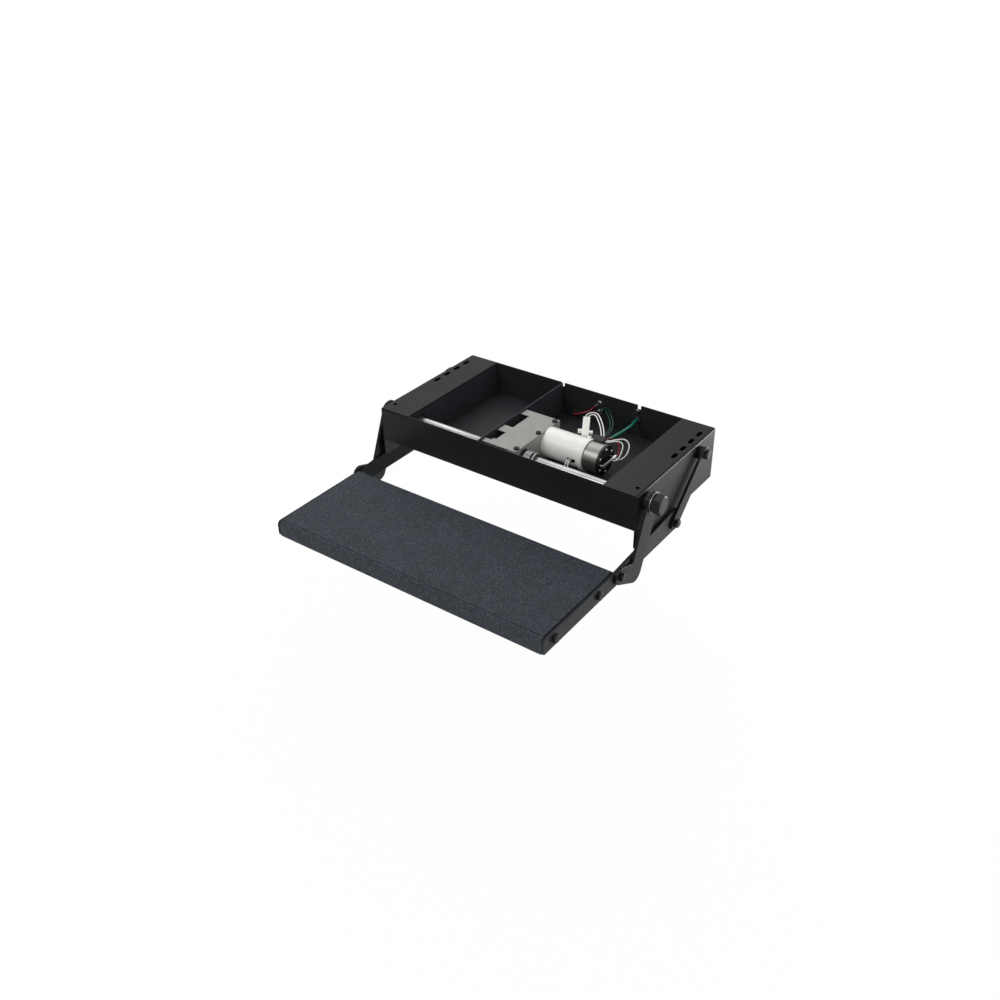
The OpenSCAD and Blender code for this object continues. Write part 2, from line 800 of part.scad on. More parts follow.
end_screw_r = 1.6;
end_screw_head_r = 3;
end_screw_head_t = 2.5;
end_screw_reach = housing_r - 6;
bearing_depth = 4;
rotor_end = housing_end + bearing_depth - side_play;
post_r = 2;
post_start = housing_end + 1;
post_reach = 21;
post_at = [motor_at - [post_reach, 0], motor_at + [post_reach, 0]];

module end_plate() {
    color(dark)
        difference() {
            x_bar(housing_end, plate_end, motor_at, housing_r);
            x_bar(housing_end - past, housing_end + bearing_depth, motor_at, rotor_shaft_r + run_gap);
            for (i = [0 : end_screws - 1])
                x_bar(housing_end - past, plate_end + past, end_screw_at(i), end_screw_r + seat_gap);
            for (at = post_at)
                x_bar(post_start, plate_end + past, at, post_r + seat_gap);
        }
}

function end_screw_at(i) =
    let (a = 30 + 360 * i / end_screws) motor_at + end_screw_reach * [cos(a), sin(a)];

module end_plate_screws() {
    color("silver")
        for (i = [0 : end_screws - 1]) {
            x_bar(plate_end, plate_end + end_screw_head_t, end_screw_at(i), end_screw_head_r);
            x_bar(housing_end, plate_end, end_screw_at(i), end_screw_r);
        }
}

// Bright bar across the end plate on two posts, where the motor leads end
module terminal_bridge() {
    color("silver") {
        for (at = post_at)
            x_bar(post_start, bridge_x, at, post_r);
        translate([bridge_x, motor_at[0] - bridge_l / 2, motor_at[1] - bridge_h / 2])
            cube([bridge_t, bridge_l, bridge_h]);
    }
}

commutator_l = 8;
core_x = [magnet_x[0] + 2, magnet_x[1] - commutator_l];

module armature() {
    color("#b08050") {
        x_bar(gear_x, rotor_end, motor_at, rotor_shaft_r);
        x_bar(core_x[0], core_x[1], motor_at, core_r);
        x_bar(core_x[1], magnet_x[1], motor_at, core_r / 2);
        side_plate(gear_x, gear_x + gear_w)
            translate(motor_at)
                outer_gear(sun_teeth, 90);
    }
}

module output_carrier() {
    color("silver") {
        x_bar(partition_x - sheet, carrier_x, motor_at, output_r);
        x_bar(carrier_x, carrier_x + carrier_t, motor_at, planet_reach + planet_pin_r + 1);
        for (way = [-1, 1])
            x_bar(carrier_x, gear_x + gear_w, motor_at + way * planet_up, planet_pin_r);
    }
}

module planet(way) {
    color("#8d8f92")
        difference() {
            side_plate(gear_x, gear_x + gear_w)
                translate(motor_at + way * planet_up)
                    outer_gear(planet_teeth, 90 + 180 / planet_teeth);
            x_bar(gear_x - past, gear_x + gear_w + past, motor_at + way * planet_up,
                planet_pin_r + run_gap);
        }
}

// Crank drive: lever on the drive shaft, crank on the output shaft, and the link between them

module crank_plate(at, hub_r, bore_r) {
    difference() {
        side_plate(crank_x, crank_x + crank_t)
            tapered_bar(at, hub_r, at + crank_step, eye_r);
        x_bar(crank_x - past, crank_x + crank_t + past, at, bore_r + seat_gap);
    }
    x_bar(crank_x + crank_t / 2, link_x + link_t + side_play, at + crank_step, crank_pin_r);
}

module drive_lever() {
    color(grey_zinc)
        crank_plate(shaft_at, lever_hub_r, shaft_r);
}

module motor_crank() {
    color(grey_zinc)
        crank_plate(motor_at, crank_hub_r, output_r);
}

module drive_link() {
    color(zinc)
        difference() {
            union() {
                side_plate(link_x, link_x + link_t)
                    tapered_bar(lever_pin_at, link_half_w, crank_pin_at, link_half_w);
                for (at = [lever_pin_at, crank_pin_at])
                    x_bar(link_x, link_x + link_t, at, eye_r);
            }
            for (at = [lever_pin_at, crank_pin_at])
                x_bar(link_x - past, link_x + link_t + past, at, crank_pin_r + run_gap);
        }
}

// Drive shaft with its arms, bolts and spring

bolt_depth = 30;

module drive_shaft() {
    color("#d8d9d6")
        difference() {
            x_bar(-arm_out, arm_out, shaft_at, shaft_r);
            both_sides()
                x_bar(arm_out - bolt_depth - past, arm_out + past, shaft_at, shaft_bolt_r + seat_gap);
        }
}

module front_arm() {
    color(black)
        difference() {
            union() {
                side_plate(arm_x, arm_out)
                    tapered_bar(shaft_at, head_r, elbow_at, elbow_r);
                side_plate(arm_x, arm_out)
                    tapered_bar(elbow_at, elbow_r, foot_at, toe_r);
            }
            x_bar(arm_x - past, arm_out + past, shaft_at, shaft_r + seat_gap);
            x_bar(arm_x - past, arm_out + past, foot_at, pin_r + run_gap);
        }
}

module arm_washers() {
    color(dark)
        both_sides()
            difference() {
                x_bar(arm_out, arm_out + shaft_washer_t, shaft_at, shaft_washer_r);
                x_bar(arm_out - past, arm_out + shaft_washer_t + past, shaft_at, shaft_bolt_r + bolt_gap);
            }
}

module arm_bolts() {
    head_x = arm_out + shaft_washer_t;
    color(dark) {
        x_bar(head_x, head_x + shaft_bolt_head_t, shaft_at, hex_r(shaft_bolt_flats), 6);
        x_bar(-head_x - flat_head_t, -head_x, shaft_at, hex_r(flat_head_flats), 6);
        both_sides()
            x_bar(arm_out - bolt_depth, head_x, shaft_at, shaft_bolt_r);
    }
}

spring_x = motor_plate_x + bush_flange_t + side_play / 2;
ring_turn = 45;
spring_rings = curls * 360 / ring_turn;
tail_turn = [6, 9, 10, 10];
tail_rise = [0.8, 2, 3.5, 5];
coil_start = spring_x + tail_rise[3];
coil_rise = curls * curl_rise;
spring_end = coil_start + coil_rise + tail_rise[3];

function coil_point(x, a) = [x, shaft_at[0] + coil_r * cos(a), shaft_at[1] + coil_r * sin(a)];
spring_path = concat(
    [for (k = [3 : -1 : 0]) coil_point(coil_start - tail_rise[k], -tail_turn[k])],
    [for (i = [0 : spring_rings]) coil_point(coil_start + coil_rise * i / spring_rings, ring_turn * i)],
    [for (k = [0 : 3]) coil_point(coil_start + coil_rise + tail_rise[k], curls * 360 + tail_turn[k])]);
spring_gap = min([for (i = [0 : len(spring_path) - 7], j = [i + 6 : len(spring_path) - 1])
    norm(spring_path[i] - spring_path[j])]) - 2 * wire_r;
collar_r = coil_r + wire_r + 1;

module shaft_spring() {
    echo(least_spring_gap = spring_gap);
    color("silver")
        tube(spring_path, wire_r, 6);
}

module spring_collar() {
    color(zinc)
        difference() {
            x_bar(spring_end, spring_end + collar_w, shaft_at, collar_r);
            x_bar(spring_end - past, spring_end + collar_w + past, shaft_at, shaft_r + seat_gap);
        }
}

// Rear arms with their pivots

module rear_arm() {
    color(black)
        difference() {
            union() {
                side_plate(arm_x, arm_out)
                    tapered_bar(pivot_at, rear_arm_r, rail_pin_at, rear_arm_r);
                x_bar(half_w + side_play / 2, arm_x + past, pivot_at, rear_arm_r - 1);
            }
            x_bar(half_w - past, arm_out + past, pivot_at, pin_r + run_gap);
            x_bar(arm_x - past, arm_out + past, rail_pin_at, pin_r + run_gap);
        }
}

nut_t = 8;
thread_end = 2;

module rear_pivot_bolts() {
    head_x = arm_out + side_play / 2;
    color(dark)
        both_sides() {
            x_bar(head_x, head_x + pin_head_t, pivot_at, hex_r(pin_flats), 6);
            x_bar(half_w - sheet - nut_t - thread_end, head_x, pivot_at, pin_r);
        }
}

module rear_pivot_nuts() {
    nut_x = half_w - sheet;
    color(dark)
        both_sides()
            difference() {
                x_bar(nut_x - nut_t, nut_x, pivot_at, hex_r(pin_flats), 6);
                x_bar(nut_x - nut_t - past, nut_x + past, pivot_at, pin_r + seat_gap);
            }
}

// Tread

rail_bolt_at = [[tread_front + rail_bolt_front, rail_bolt_z], [tread_front + rail_bolt_rear, rail_bolt_z]];

module tread_outline(inset, drop) {
    polygon(concat(
        [[tread_front + inset, tread_low - drop], [tread_rear - inset, tread_low - drop]],
        arc([tread_rear - tread_fold_r, tread_top - tread_fold_r], tread_fold_r - inset, 0, 90),
        arc([tread_front + nose_r, tread_top - nose_r], nose_r - inset, 90, 180)));
}

module tread_deck() {
    color(black)
        difference() {
            side_plate(-rail_x, rail_x)
                tread_outline(0, 0);
            side_plate(sheet - rail_x, rail_x - sheet)
                tread_outline(sheet, past);
            both_sides()
                for (at = rail_bolt_at)
                    x_bar(rail_x - sheet - past, rail_x + past, at, rail_bolt_r + bolt_gap);
        }
}

module tread_grip() {
    color("#3a3d44")
        translate([grip_edge - rail_x, tread_front + nose_r, tread_top])
            cube([2 * rail_x - 2 * grip_edge, tread_d - nose_r - tread_fold_r, grip_t]);
}

// Straight along the tread, then rising to the rear pin
module rail_outline() {
    front = tread_front + rail_corner;
    rear = rail_pin_at[0] + rail_tail - rail_corner;
    low = rail_top - rail_h + rail_corner;
    polygon(concat(
        arc([tread_front + rail_toe_r, rail_top - rail_h + rail_toe_r], rail_toe_r, 180, 270),
        arc([rear, low], rail_corner, 270, 360),
        arc([rear, rail_top + rail_rise - rail_corner], rail_corner, 0, 90),
        [[tread_rear, rail_top]],
        arc([front, rail_top - rail_corner], rail_corner, 90, 180)));
}

module rail() {
    color(black)
        difference() {
            side_plate(rail_x, rail_x + rail_t)
                rail_outline();
            for (at = [foot_at, rail_pin_at])
                x_bar(rail_x - past, rail_x + rail_t + past, at, pin_r + seat_gap);
            for (at = rail_bolt_at)
                x_bar(rail_x - past, rail_x + rail_t + past, at, rail_bolt_r + bolt_gap);
        }
}

rail_nut_t = 6;
rail_nut_flats = 13;
module rail_bolts() {
    head_x = rail_x + rail_t;
    nut_x = rail_x - sheet;
    color(dark)
        both_sides()
            for (at = rail_bolt_at) {
                x_bar(head_x, head_x + rail_bolt_head_t, at, hex_r(rail_bolt_flats), 6);
                x_bar(nut_x - rail_nut_t, head_x, at, rail_bolt_r);
                difference() {
                    x_bar(nut_x - rail_nut_t, nut_x, at, hex_r(rail_nut_flats), 6);
                    x_bar(nut_x - rail_nut_t - past, nut_x + past, at, rail_bolt_r + seat_gap);
                }
            }
}

module tread_pins() {
    head_x = arm_out + side_play / 2;
    color(dark)
        both_sides()
            for (at = [foot_at, rail_pin_at]) {
                x_bar(head_x, head_x + pin_head_t, at, hex_r(tread_pin_flats), 6);
                x_bar(rail_x, head_x, at, pin_r);
            }
}

// Wiring pieces

// Connector body that rests on the gear can and points to the rear
module connector() {
    color(white)
        difference() {
            translate(motor_middle + connector_foot)
                rotate([0, 0, connector_turn])
                    translate([-connector_size[0] / 2, 0, -connector_size[2] / 2])
                        cube(connector_size);
            x_bar(can_x, can_end + past, motor_at, can_r + seat_gap);
            x_bar(can_end - lip_w - seat_gap, can_end + past, motor_at, can_r + lip_proud + seat_gap);
        }
}

// Dark block on the motor housing where the leads branch
module terminal_block() {
    color("#3b3b3d")
        difference() {
            translate(motor_middle + block_low)
                cube(block_size);
            x_bar(can_end, housing_end, motor_at, housing_r + seat_gap);
        }
}

module rear_panel_screws() {
    head_y = wall_y - terminal_t;
    color("silver")
        for (at = screw_at) {
            y_bar(head_y - screw_head_t, head_y, at, 2 * screw_r, 6);
            y_bar(head_y, rear_y, at, screw_r);
        }
}

module ring_terminals() {
    head_y = wall_y - terminal_t - screw_head_t;
    color("#cfd0cc")
        for (i = [0 : 1])
            difference() {
                union() {
                    y_bar(wall_y - terminal_t, wall_y, earth_screws[i], ring_r);
                    translate([earth_screws[i][0], barrel_y, earth_screws[i][1]])
                        rotate([0, 90 - barrel_turns[i], 0])
                            translate([0, 0, barrel_start])
                                cylinder(h = barrel_l, r = barrel_r);
                }
                y_bar(head_y, wall_y + past, earth_screws[i], screw_r + bolt_gap);
            }
}

module cable_grommets() {
    lip_r = grommet_r + grommet_lip;
    color(dark)
        for (at = grommet_at)
            difference() {
                union() {
                    y_bar(wall_y, rear_y, at, grommet_r);
                    y_bar(wall_y - grommet_inner_t, wall_y, at, lip_r);
                    y_bar(rear_y, rear_y + grommet_outer_t, at, lip_r);
                }
                y_bar(wall_y, rear_y + grommet_outer_t + past, at, cable_d / 2);
            }
}

module limit_switch() {
    color(dark)
        translate(switch_low)
            cube(switch_size);
}

// Drawing

on_side(-1) side_panel();  // left_side_panel
on_side(1) side_panel();  // right_side_panel
on_side(-1) inner_wall();  // left_inner_wall
on_side(1) inner_wall();  // right_inner_wall
front_panel();
rear_panel();
floor_pan();
partition();
gear_cover();
motor_plate();
cover_bolts();
outer_shaft_bushes();
inner_shaft_bushes();
crank_bush();
gear_can();
motor_housing();
motor_magnets();
end_plate();
end_plate_screws();
terminal_bridge();
rear_pivot_bolts();
rear_pivot_nuts();
connector();
terminal_block();
rear_panel_screws();
ring_terminals();
cable_grommets();
limit_switch();
color(white) wire(white_a_route, wire_d);  // white_wire_a
color(white) wire(white_b_route, wire_d);  // white_wire_b
color(white) wire(loop_a_route, wire_d);  // white_loop_a
color(white) wire(loop_b_route, wire_d);  // white_loop_b
color("crimson") wire(red_route, wire_d);  // red_wire
color("crimson") wire(red_lead_route, wire_d);  // red_lead
color("teal") wire(green_a_route, thin_wire_d);  // green_wire_a
color("teal") wire(green_b_route, thin_wire_d);  // green_wire_b
color("teal") wire(green_cable_route, cable_d);  // green_cable
color(white) wire(switch_route, wire_d);  // switch_wire
drive_shaft();
on_side(-1) front_arm();  // left_front_arm
on_side(1) front_arm();  // right_front_arm
arm_washers();
arm_bolts();
drive_lever();
shaft_spring();
spring_collar();
on_side(-1) rear_arm();  // left_rear_arm
on_side(1) rear_arm();  // right_rear_arm
tread_deck();
tread_grip();
on_side(-1) rail();  // left_rail
on_side(1) rail();  // right_rail
rail_bolts();
tread_pins();
drive_link();
motor_crank();
output_carrier();
armature();
planet(1);  // upper_planet
planet(-1);  // lower_planet
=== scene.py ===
import json
import math

import bmesh
import bpy
from mathutils import Matrix, Vector


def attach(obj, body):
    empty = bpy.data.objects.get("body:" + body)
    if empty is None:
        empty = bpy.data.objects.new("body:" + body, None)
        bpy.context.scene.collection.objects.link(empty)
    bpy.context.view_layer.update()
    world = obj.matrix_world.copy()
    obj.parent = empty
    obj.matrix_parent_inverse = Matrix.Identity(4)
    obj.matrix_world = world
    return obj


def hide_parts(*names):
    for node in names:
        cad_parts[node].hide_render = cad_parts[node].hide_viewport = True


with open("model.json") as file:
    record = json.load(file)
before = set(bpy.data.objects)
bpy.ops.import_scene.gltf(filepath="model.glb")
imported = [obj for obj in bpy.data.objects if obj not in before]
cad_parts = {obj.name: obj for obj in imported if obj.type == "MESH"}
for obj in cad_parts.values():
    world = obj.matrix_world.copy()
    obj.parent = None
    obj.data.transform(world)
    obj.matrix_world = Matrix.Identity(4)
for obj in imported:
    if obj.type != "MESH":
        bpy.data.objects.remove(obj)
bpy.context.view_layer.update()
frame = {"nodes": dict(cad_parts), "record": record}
nodes = frame["nodes"]
bodies = frame["record"]["behaviour"]["bodies"]
bodyOf = {node: body for body, names in bodies.items() for node in names}
mm = 0.001
scene = bpy.context.scene
scene.view_settings.view_transform = "Standard"
print("frame loaded:", len(nodes), "nodes")


def addObject(name, data):
    added = bpy.data.objects.new(name, data)
    scene.collection.objects.link(added)
    return added


# camera stands where the straight edges of the housing put it: lens and film in mm, the rest in m and degrees
shot = {"lens": 38.287, "film": 36, "farthest": 60, "spot": (1.04678, -1.43538, 1.01216),
        "turn": 36.66, "tilt": 32.73, "roll": -1.08}


def setCamera():
    turn, tilt, roll = (math.radians(shot[key]) for key in ("turn", "tilt", "roll"))
    back = Vector((math.sin(turn) * math.cos(tilt), -math.cos(turn) * math.cos(tilt), math.sin(tilt)))
    right = Vector((math.cos(turn), math.sin(turn), 0))
    up = back.cross(right)
    right, up = (math.cos(roll) * right + math.sin(roll) * up,
                 math.cos(roll) * up - math.sin(roll) * right)
    camera = addObject("camera", bpy.data.cameras.new("camera"))
    camera.data.lens = shot["lens"]
    camera.data.sensor_width = shot["film"]
    camera.data.clip_end = shot["farthest"]
    place = Matrix((right, up, back)).transposed().to_4x4()
    place.translation = shot["spot"]
    camera.matrix_world = place
    scene.camera = camera


setCamera()
print("camera set")


def toLinear(hexColour):
    parts = [int(hexColour[i:i + 2], 16) / 255 for i in (1, 3, 5)]
    return tuple(c / 12.92 if c <= 0.04045 else ((c + 0.055) / 1.055) ** 2.4 for c in parts) + (1.0,)


def addNode(tree, kind, links=None, **settings):
    node = tree.nodes.new(kind)
    for name, value in settings.items():
        setattr(node, name, value)
    for socket, value in (links or {}).items():
        port = node.inputs[socket]
        if isinstance(value, bpy.types.NodeSocket):
            tree.links.new(value, port)
        else:
            port.default_value = value
    return node


def reckon(tree, operation, *values):
    return addNode(tree, "ShaderNodeMath", dict(enumerate(values)), operation=operation).outputs[0]


# value between start and end, spread from low to high
def mapped(tree, value, start, end, low=0.0, high=1.0, **settings):
    ports = {0: value, 1: start, 2: end, 3: low, 4: high}
    return addNode(tree, "ShaderNodeMapRange", ports, **settings).outputs[0]


def blended(tree, share, first, second, blend="MIX"):
    ports = {0: share, 6: first, 7: second}
    return addNode(tree, "ShaderNodeMix", ports, data_type="RGBA", blend_type=blend).outputs[2]


def noise(tree, place, sizeMm, detail, rough=0.5):
    ports = {"Vector": place, "Scale": 1 / (sizeMm * mm), "Detail": detail, "Roughness": rough}
    return addNode(tree, "ShaderNodeTexNoise", ports).outputs[0]


# three chance values for every cell of a crystal pattern
def cellTones(tree, place, sizeMm):
    cells = addNode(tree, "ShaderNodeTexVoronoi", {"Vector": place, "Scale": 1 / (sizeMm * mm)})
    return addNode(tree, "ShaderNodeSeparateColor", {0: cells.outputs["Color"]}).outputs


# what all finishes share: noise details, and how much of the noise is used
patchLook = {"detail": 4.0, "rough": 0.6, "span": (0.3, 0.7)}
grainLook = {"detail": 2.0, "span": (0.25, 0.75), "bump": 0.3}
# broken runs of the lighter edge tone: partly wear, partly painted edge highlight
wearAndHighlightLook = {"runMm": 18, "detail": 3.0, "span": (0.4, 0.65), "share": (0.15, 1.0)}


# every finish: two tones in soft patches, and a fine grain that moves roughness and the surface itself
def surfaceFrom(look):
    finish = bpy.data.materials.new(look["name"])
    finish.use_nodes = True
    tree = finish.node_tree
    tree.nodes.clear()
    place = addNode(tree, "ShaderNodeTexCoord").outputs["Object"]
    if "stretch" in look:
        place = addNode(tree, "ShaderNodeMapping", {"Vector": place, "Scale": look["stretch"]}).outputs[0]
    patches = noise(tree, place, look["patchMm"], patchLook["detail"], patchLook["rough"])
    dark, light = (toLinear(tone) for tone in look["tones"])
    colour = blended(tree, mapped(tree, patches, *patchLook["span"]), dark, light)
    if "wornAndLit" in look:
        # handled corners: the finish is thinner there and a little lighter, in broken runs; the lighter tone is
        # partly wear and partly a painted edge highlight
        edge = addNode(tree, "ShaderNodeAttribute", attribute_name="wornAndLitEdge").outputs["Fac"]
        runs = noise(tree, place, wearAndHighlightLook["runMm"], wearAndHighlightLook["detail"])
        wearAndHighlight = reckon(tree, "MULTIPLY", edge, mapped(tree, runs, *wearAndHighlightLook["span"], *wearAndHighlightLook["share"]))
        colour = blended(tree, wearAndHighlight, colour, toLinear(look["wornAndLit"]))
    grain = noise(tree, place, look["grainMm"], grainLook["detail"])
    rough = mapped(tree, grain, *grainLook["span"], *look["rough"])
    bump = addNode(tree, "ShaderNodeBump", {"Strength": look.get("bump", grainLook["bump"]),
                                            "Distance": look["reliefMm"] * mm, "Height": grain})
    shader = addNode(tree, "ShaderNodeBsdfPrincipled",
                     {"Base Color": colour, "Roughness": rough, "Normal": bump.outputs[0],
                      "Metallic": look.get("metal", 0.0), **look.get("sockets", {})})
    addNode(tree, "ShaderNodeOutputMaterial", {"Surface": shader.outputs[0]})
    return finish, tree, shader, place


def finishFrom(look):
    return surfaceFrom(look)[0]


# black polyester powder baked on sheet steel: deep black, half gloss, faint orange peel
# real peel is 1 to 2 mm across and is drawn at 4 mm, so that it shows
powderCoat = finishFrom({"name": "blackPowderCoatedSteel", "tones": ("#141518", "#191a1d"), "patchMm": 70,
                         "rough": (0.34, 0.46), "grainMm": 4, "reliefMm": 0.25, "wornAndLit": "#222326",
                         "sockets": {"Specular IOR Level": 0.12}})
# the same powder inside the trough in three lighter copies, painted light that lifts the shaded walls, floor
# and back
troughWalls, troughFloor, troughBack = (
    finishFrom({"name": name, "tones": tones, "patchMm": 45, "rough": (0.45, 0.62), "grainMm": 4,
                "reliefMm": 0.25, "wornAndLit": "#222326", "sockets": {"Specular IOR Level": 0.12}})
    for name, tones in (("troughWallPowderPaintedLight", ("#3a3c40", "#424449")),
                        ("troughFloorPowderPaintedLight", ("#26272a", "#2d2f32")),
                        ("troughBackPowderPaintedLight", ("#202124", "#27282b"))))
# the same powder, darker and matt, as painted shade on the left rail in the shade of tread and housing: hardly
# any shine, so it stays black where the floor would show in it
shadedPowder = finishFrom({"name": "shadedPowderCoatedSteel", "tones": ("#121316", "#17181b"), "patchMm": 70,
                         "rough": (0.5, 0.65), "grainMm": 4, "reliefMm": 0.25, "wornAndLit": "#1c1d20",
                         "sockets": {"Specular IOR Level": 0.04}})
# manganese phosphate on bolts and pins: matt, nearly black, a little oily
blackPhosphate = finishFrom({"name": "blackPhosphatedSteel", "tones": ("#121211", "#1b1a19"), "patchMm": 5,
                             "rough": (0.4, 0.55), "grainMm": 1.2, "reliefMm": 0.05,
                             "sockets": {"Specular IOR Level": 0.2}})
# bright zinc plate over drawn steel: long fine draw lines, mirror-like across them
zincPlate = finishFrom({"name": "brightZincPlatedSteel", "tones": ("#717273", "#b9b9b8"), "patchMm": 6,
                        "metal": 1.0, "rough": (0.22, 0.36), "grainMm": 0.9, "reliefMm": 0.02,
                        "stretch": (0.06, 1, 1)})
# bright drawn spring wire: one long highlight along each coil, dark between the coils
springSteel = finishFrom({"name": "brightDrawnSpringSteel", "tones": ("#929394", "#b8b8b7"), "patchMm": 3,
                          "metal": 1.0, "rough": (0.22, 0.34), "grainMm": 0.8, "reliefMm": 0.02})
# passivated zinc on stamped washers: dull light grey
washerZinc = finishFrom({"name": "passivatedZincWasher", "tones": ("#6a6a67", "#8d8d8a"), "patchMm": 4,
                         "metal": 1.0, "rough": (0.32, 0.48), "grainMm": 1.0, "reliefMm": 0.02})
# nickel plate on a deep-drawn case: brighter, with soft bands round it
nickelCase = finishFrom({"name": "nickelPlatedDrawnSteel", "tones": ("#7f7e7a", "#8c8b86"), "patchMm": 16,
                         "metal": 0.85, "rough": (0.3, 0.4), "grainMm": 1.2, "reliefMm": 0.01,
                         "stretch": (0.2, 1, 1)})
# nickel plate on cut and turned brass: pale, almost white metal
nickelBrass = finishFrom({"name": "nickelPlatedBrass", "tones": ("#d2d1cb", "#e6e5e0"), "patchMm": 5,
                          "metal": 1.0, "rough": (0.28, 0.42), "grainMm": 0.8, "reliefMm": 0.02})
# satin white enamel sprayed on the can: warm white with a slight ripple
whiteEnamel = finishFrom({"name": "whiteSatinEnamel", "tones": ("#ecece8", "#f3f2ef"), "patchMm": 22,
                          "rough": (0.3, 0.42), "grainMm": 3, "reliefMm": 0.06, "wornAndLit": "#f2f1ee"})
# moulded nylon, milky and slightly soft at the edges
nylon = finishFrom({"name": "mouldedWhiteNylon", "tones": ("#dededa", "#e9e8e3"), "patchMm": 8,
                    "rough": (0.4, 0.55), "grainMm": 1.2, "reliefMm": 0.03,
                    "sockets": {"Subsurface Weight": 0.15, "Subsurface Scale": 0.002}})
# moulded glass-filled plastic: flat black with a fine spark texture
mouldedBlack = finishFrom({"name": "mouldedBlackPlastic", "tones": ("#0f0f10", "#171718"), "patchMm": 7,
                           "rough": (0.42, 0.6), "grainMm": 0.8, "reliefMm": 0.06, "wornAndLit": "#2a2a2c",
                           "sockets": {"Specular IOR Level": 0.25}})
# moulded acetal bushes: dark, waxy
acetal = finishFrom({"name": "mouldedBlackAcetal", "tones": ("#1d1d1f", "#262628"), "patchMm": 10,
                     "rough": (0.3, 0.4), "grainMm": 1.0, "reliefMm": 0.02})
# moulded rubber: matt, slightly bloomed
rubber = finishFrom({"name": "mouldedBlackRubber", "tones": ("#141414", "#1f1f1f"), "patchMm": 5,
                     "rough": (0.65, 0.8), "grainMm": 0.9, "reliefMm": 0.05})
# hot-dipped tin on pressed copper: soft white metal
tinPlate = finishFrom({"name": "tinPlatedCopper", "tones": ("#c9c8c2", "#dcdbd6"), "patchMm": 4, "metal": 1.0,
                       "rough": (0.25, 0.4), "grainMm": 0.7, "reliefMm": 0.03})
# sintered ferrite: dark grey, granular
ferrite = finishFrom({"name": "sinteredFerrite", "tones": ("#2c2a29", "#3a3735"), "patchMm": 4,
                      "rough": (0.55, 0.7), "grainMm": 0.8, "reliefMm": 0.08})
# enamelled copper wire under varnish, wound along the core: brown metal with fine lines
winding = finishFrom({"name": "varnishedCopperWinding", "tones": ("#6d3d1d", "#a8683a"), "patchMm": 1.4,
                      "metal": 0.8, "rough": (0.25, 0.4), "grainMm": 0.7, "reliefMm": 0.1,
                      "stretch": (0.08, 1, 1)})
# extruded PVC: even colour, soft gloss, faint extrusion ripple
insulation = {colour: finishFrom({"name": name, "tones": tones, "patchMm": 9, "rough": (0.32, 0.42),
                                  "grainMm": 1.2, "reliefMm": 0.03})
              for colour, name, tones in (("white", "extrudedWhitePvc", ("#dfdedb", "#ecebe8")),
                                          ("red", "extrudedRedPvc", ("#8e1226", "#a81c33")),
                                          ("green", "extrudedGreenPvc", ("#0a6a58", "#127a66")),
                                          ("dark green", "extrudedDarkGreenPvc", ("#063a2d", "#0a4838")))}
# hot-dip galvanised sheet: grey crystals that each catch the light a little differently
crystal = {"sizeMm": 9, "shade": (0.96, 1.03), "rough": (0.42, 0.5)}


def galvanise(name, tones):
    finish, tree, shader, place = surfaceFrom(
        {"name": name, "tones": tones, "patchMm": 60, "metal": 0.25, "rough": crystal["rough"],
         "grainMm": 1.5, "reliefMm": 0.03, "wornAndLit": "#b4b5b2"})
    tone = cellTones(tree, place, crystal["sizeMm"])
    before = shader.inputs["Base Color"].links[0].from_socket
    flecked = blended(tree, 1.0, before, mapped(tree, tone[0], 0.0, 1.0, *crystal["shade"]), "MULTIPLY")
    tree.links.new(flecked, shader.inputs["Base Color"])
    tree.links.new(mapped(tree, tone[1], 0.0, 1.0, *crystal["rough"]), shader.inputs["Roughness"])
    return finish


# silicon carbide grit in black resin on the tread: slate black, with pale facets here and there
# real grit is under 1 mm and is drawn at about 1.5 mm, so that it shows
facet = {"sizeMm": 1.5, "span": (0.7, 1.0), "inResin": 0.4, "onGrain": 0.5, "tone": "#74797f"}


def gritFinish():
    finish, tree, shader, place = surfaceFrom(
        {"name": "resinBondedGrit", "tones": ("#262b32", "#30353d"), "patchMm": 55, "rough": (0.6, 0.85),
         "grainMm": 1.5, "reliefMm": 0.7, "bump": 0.8, "sockets": {"Specular IOR Level": 0.25}})
    tone = cellTones(tree, place, facet["sizeMm"])
    own = addNode(tree, "ShaderNodeAttribute", attribute_name="grainTone").outputs["Fac"]
    share = reckon(tree, "MAXIMUM", mapped(tree, tone[0], *facet["span"], 0.0, facet["inResin"]),
                   mapped(tree, own, *facet["span"], 0.0, facet["onGrain"]))
    before = shader.inputs["Base Color"].links[0].from_socket
    tree.links.new(blended(tree, share, before, toLinear(facet["tone"])), shader.inputs["Base Color"])
    return finish


galvanised = galvanise("galvanisedSheet", ("#83847f", "#8c8d89"))
# a lighter copy of the same sheet for the motor plate: painted light on its face inside the trough
plateZinc = galvanise("galvanisedSheetPaintedLight", ("#b0b1ad", "#babbb7"))
grit = gritFinish()
print("finishes made:", len(bpy.data.materials))

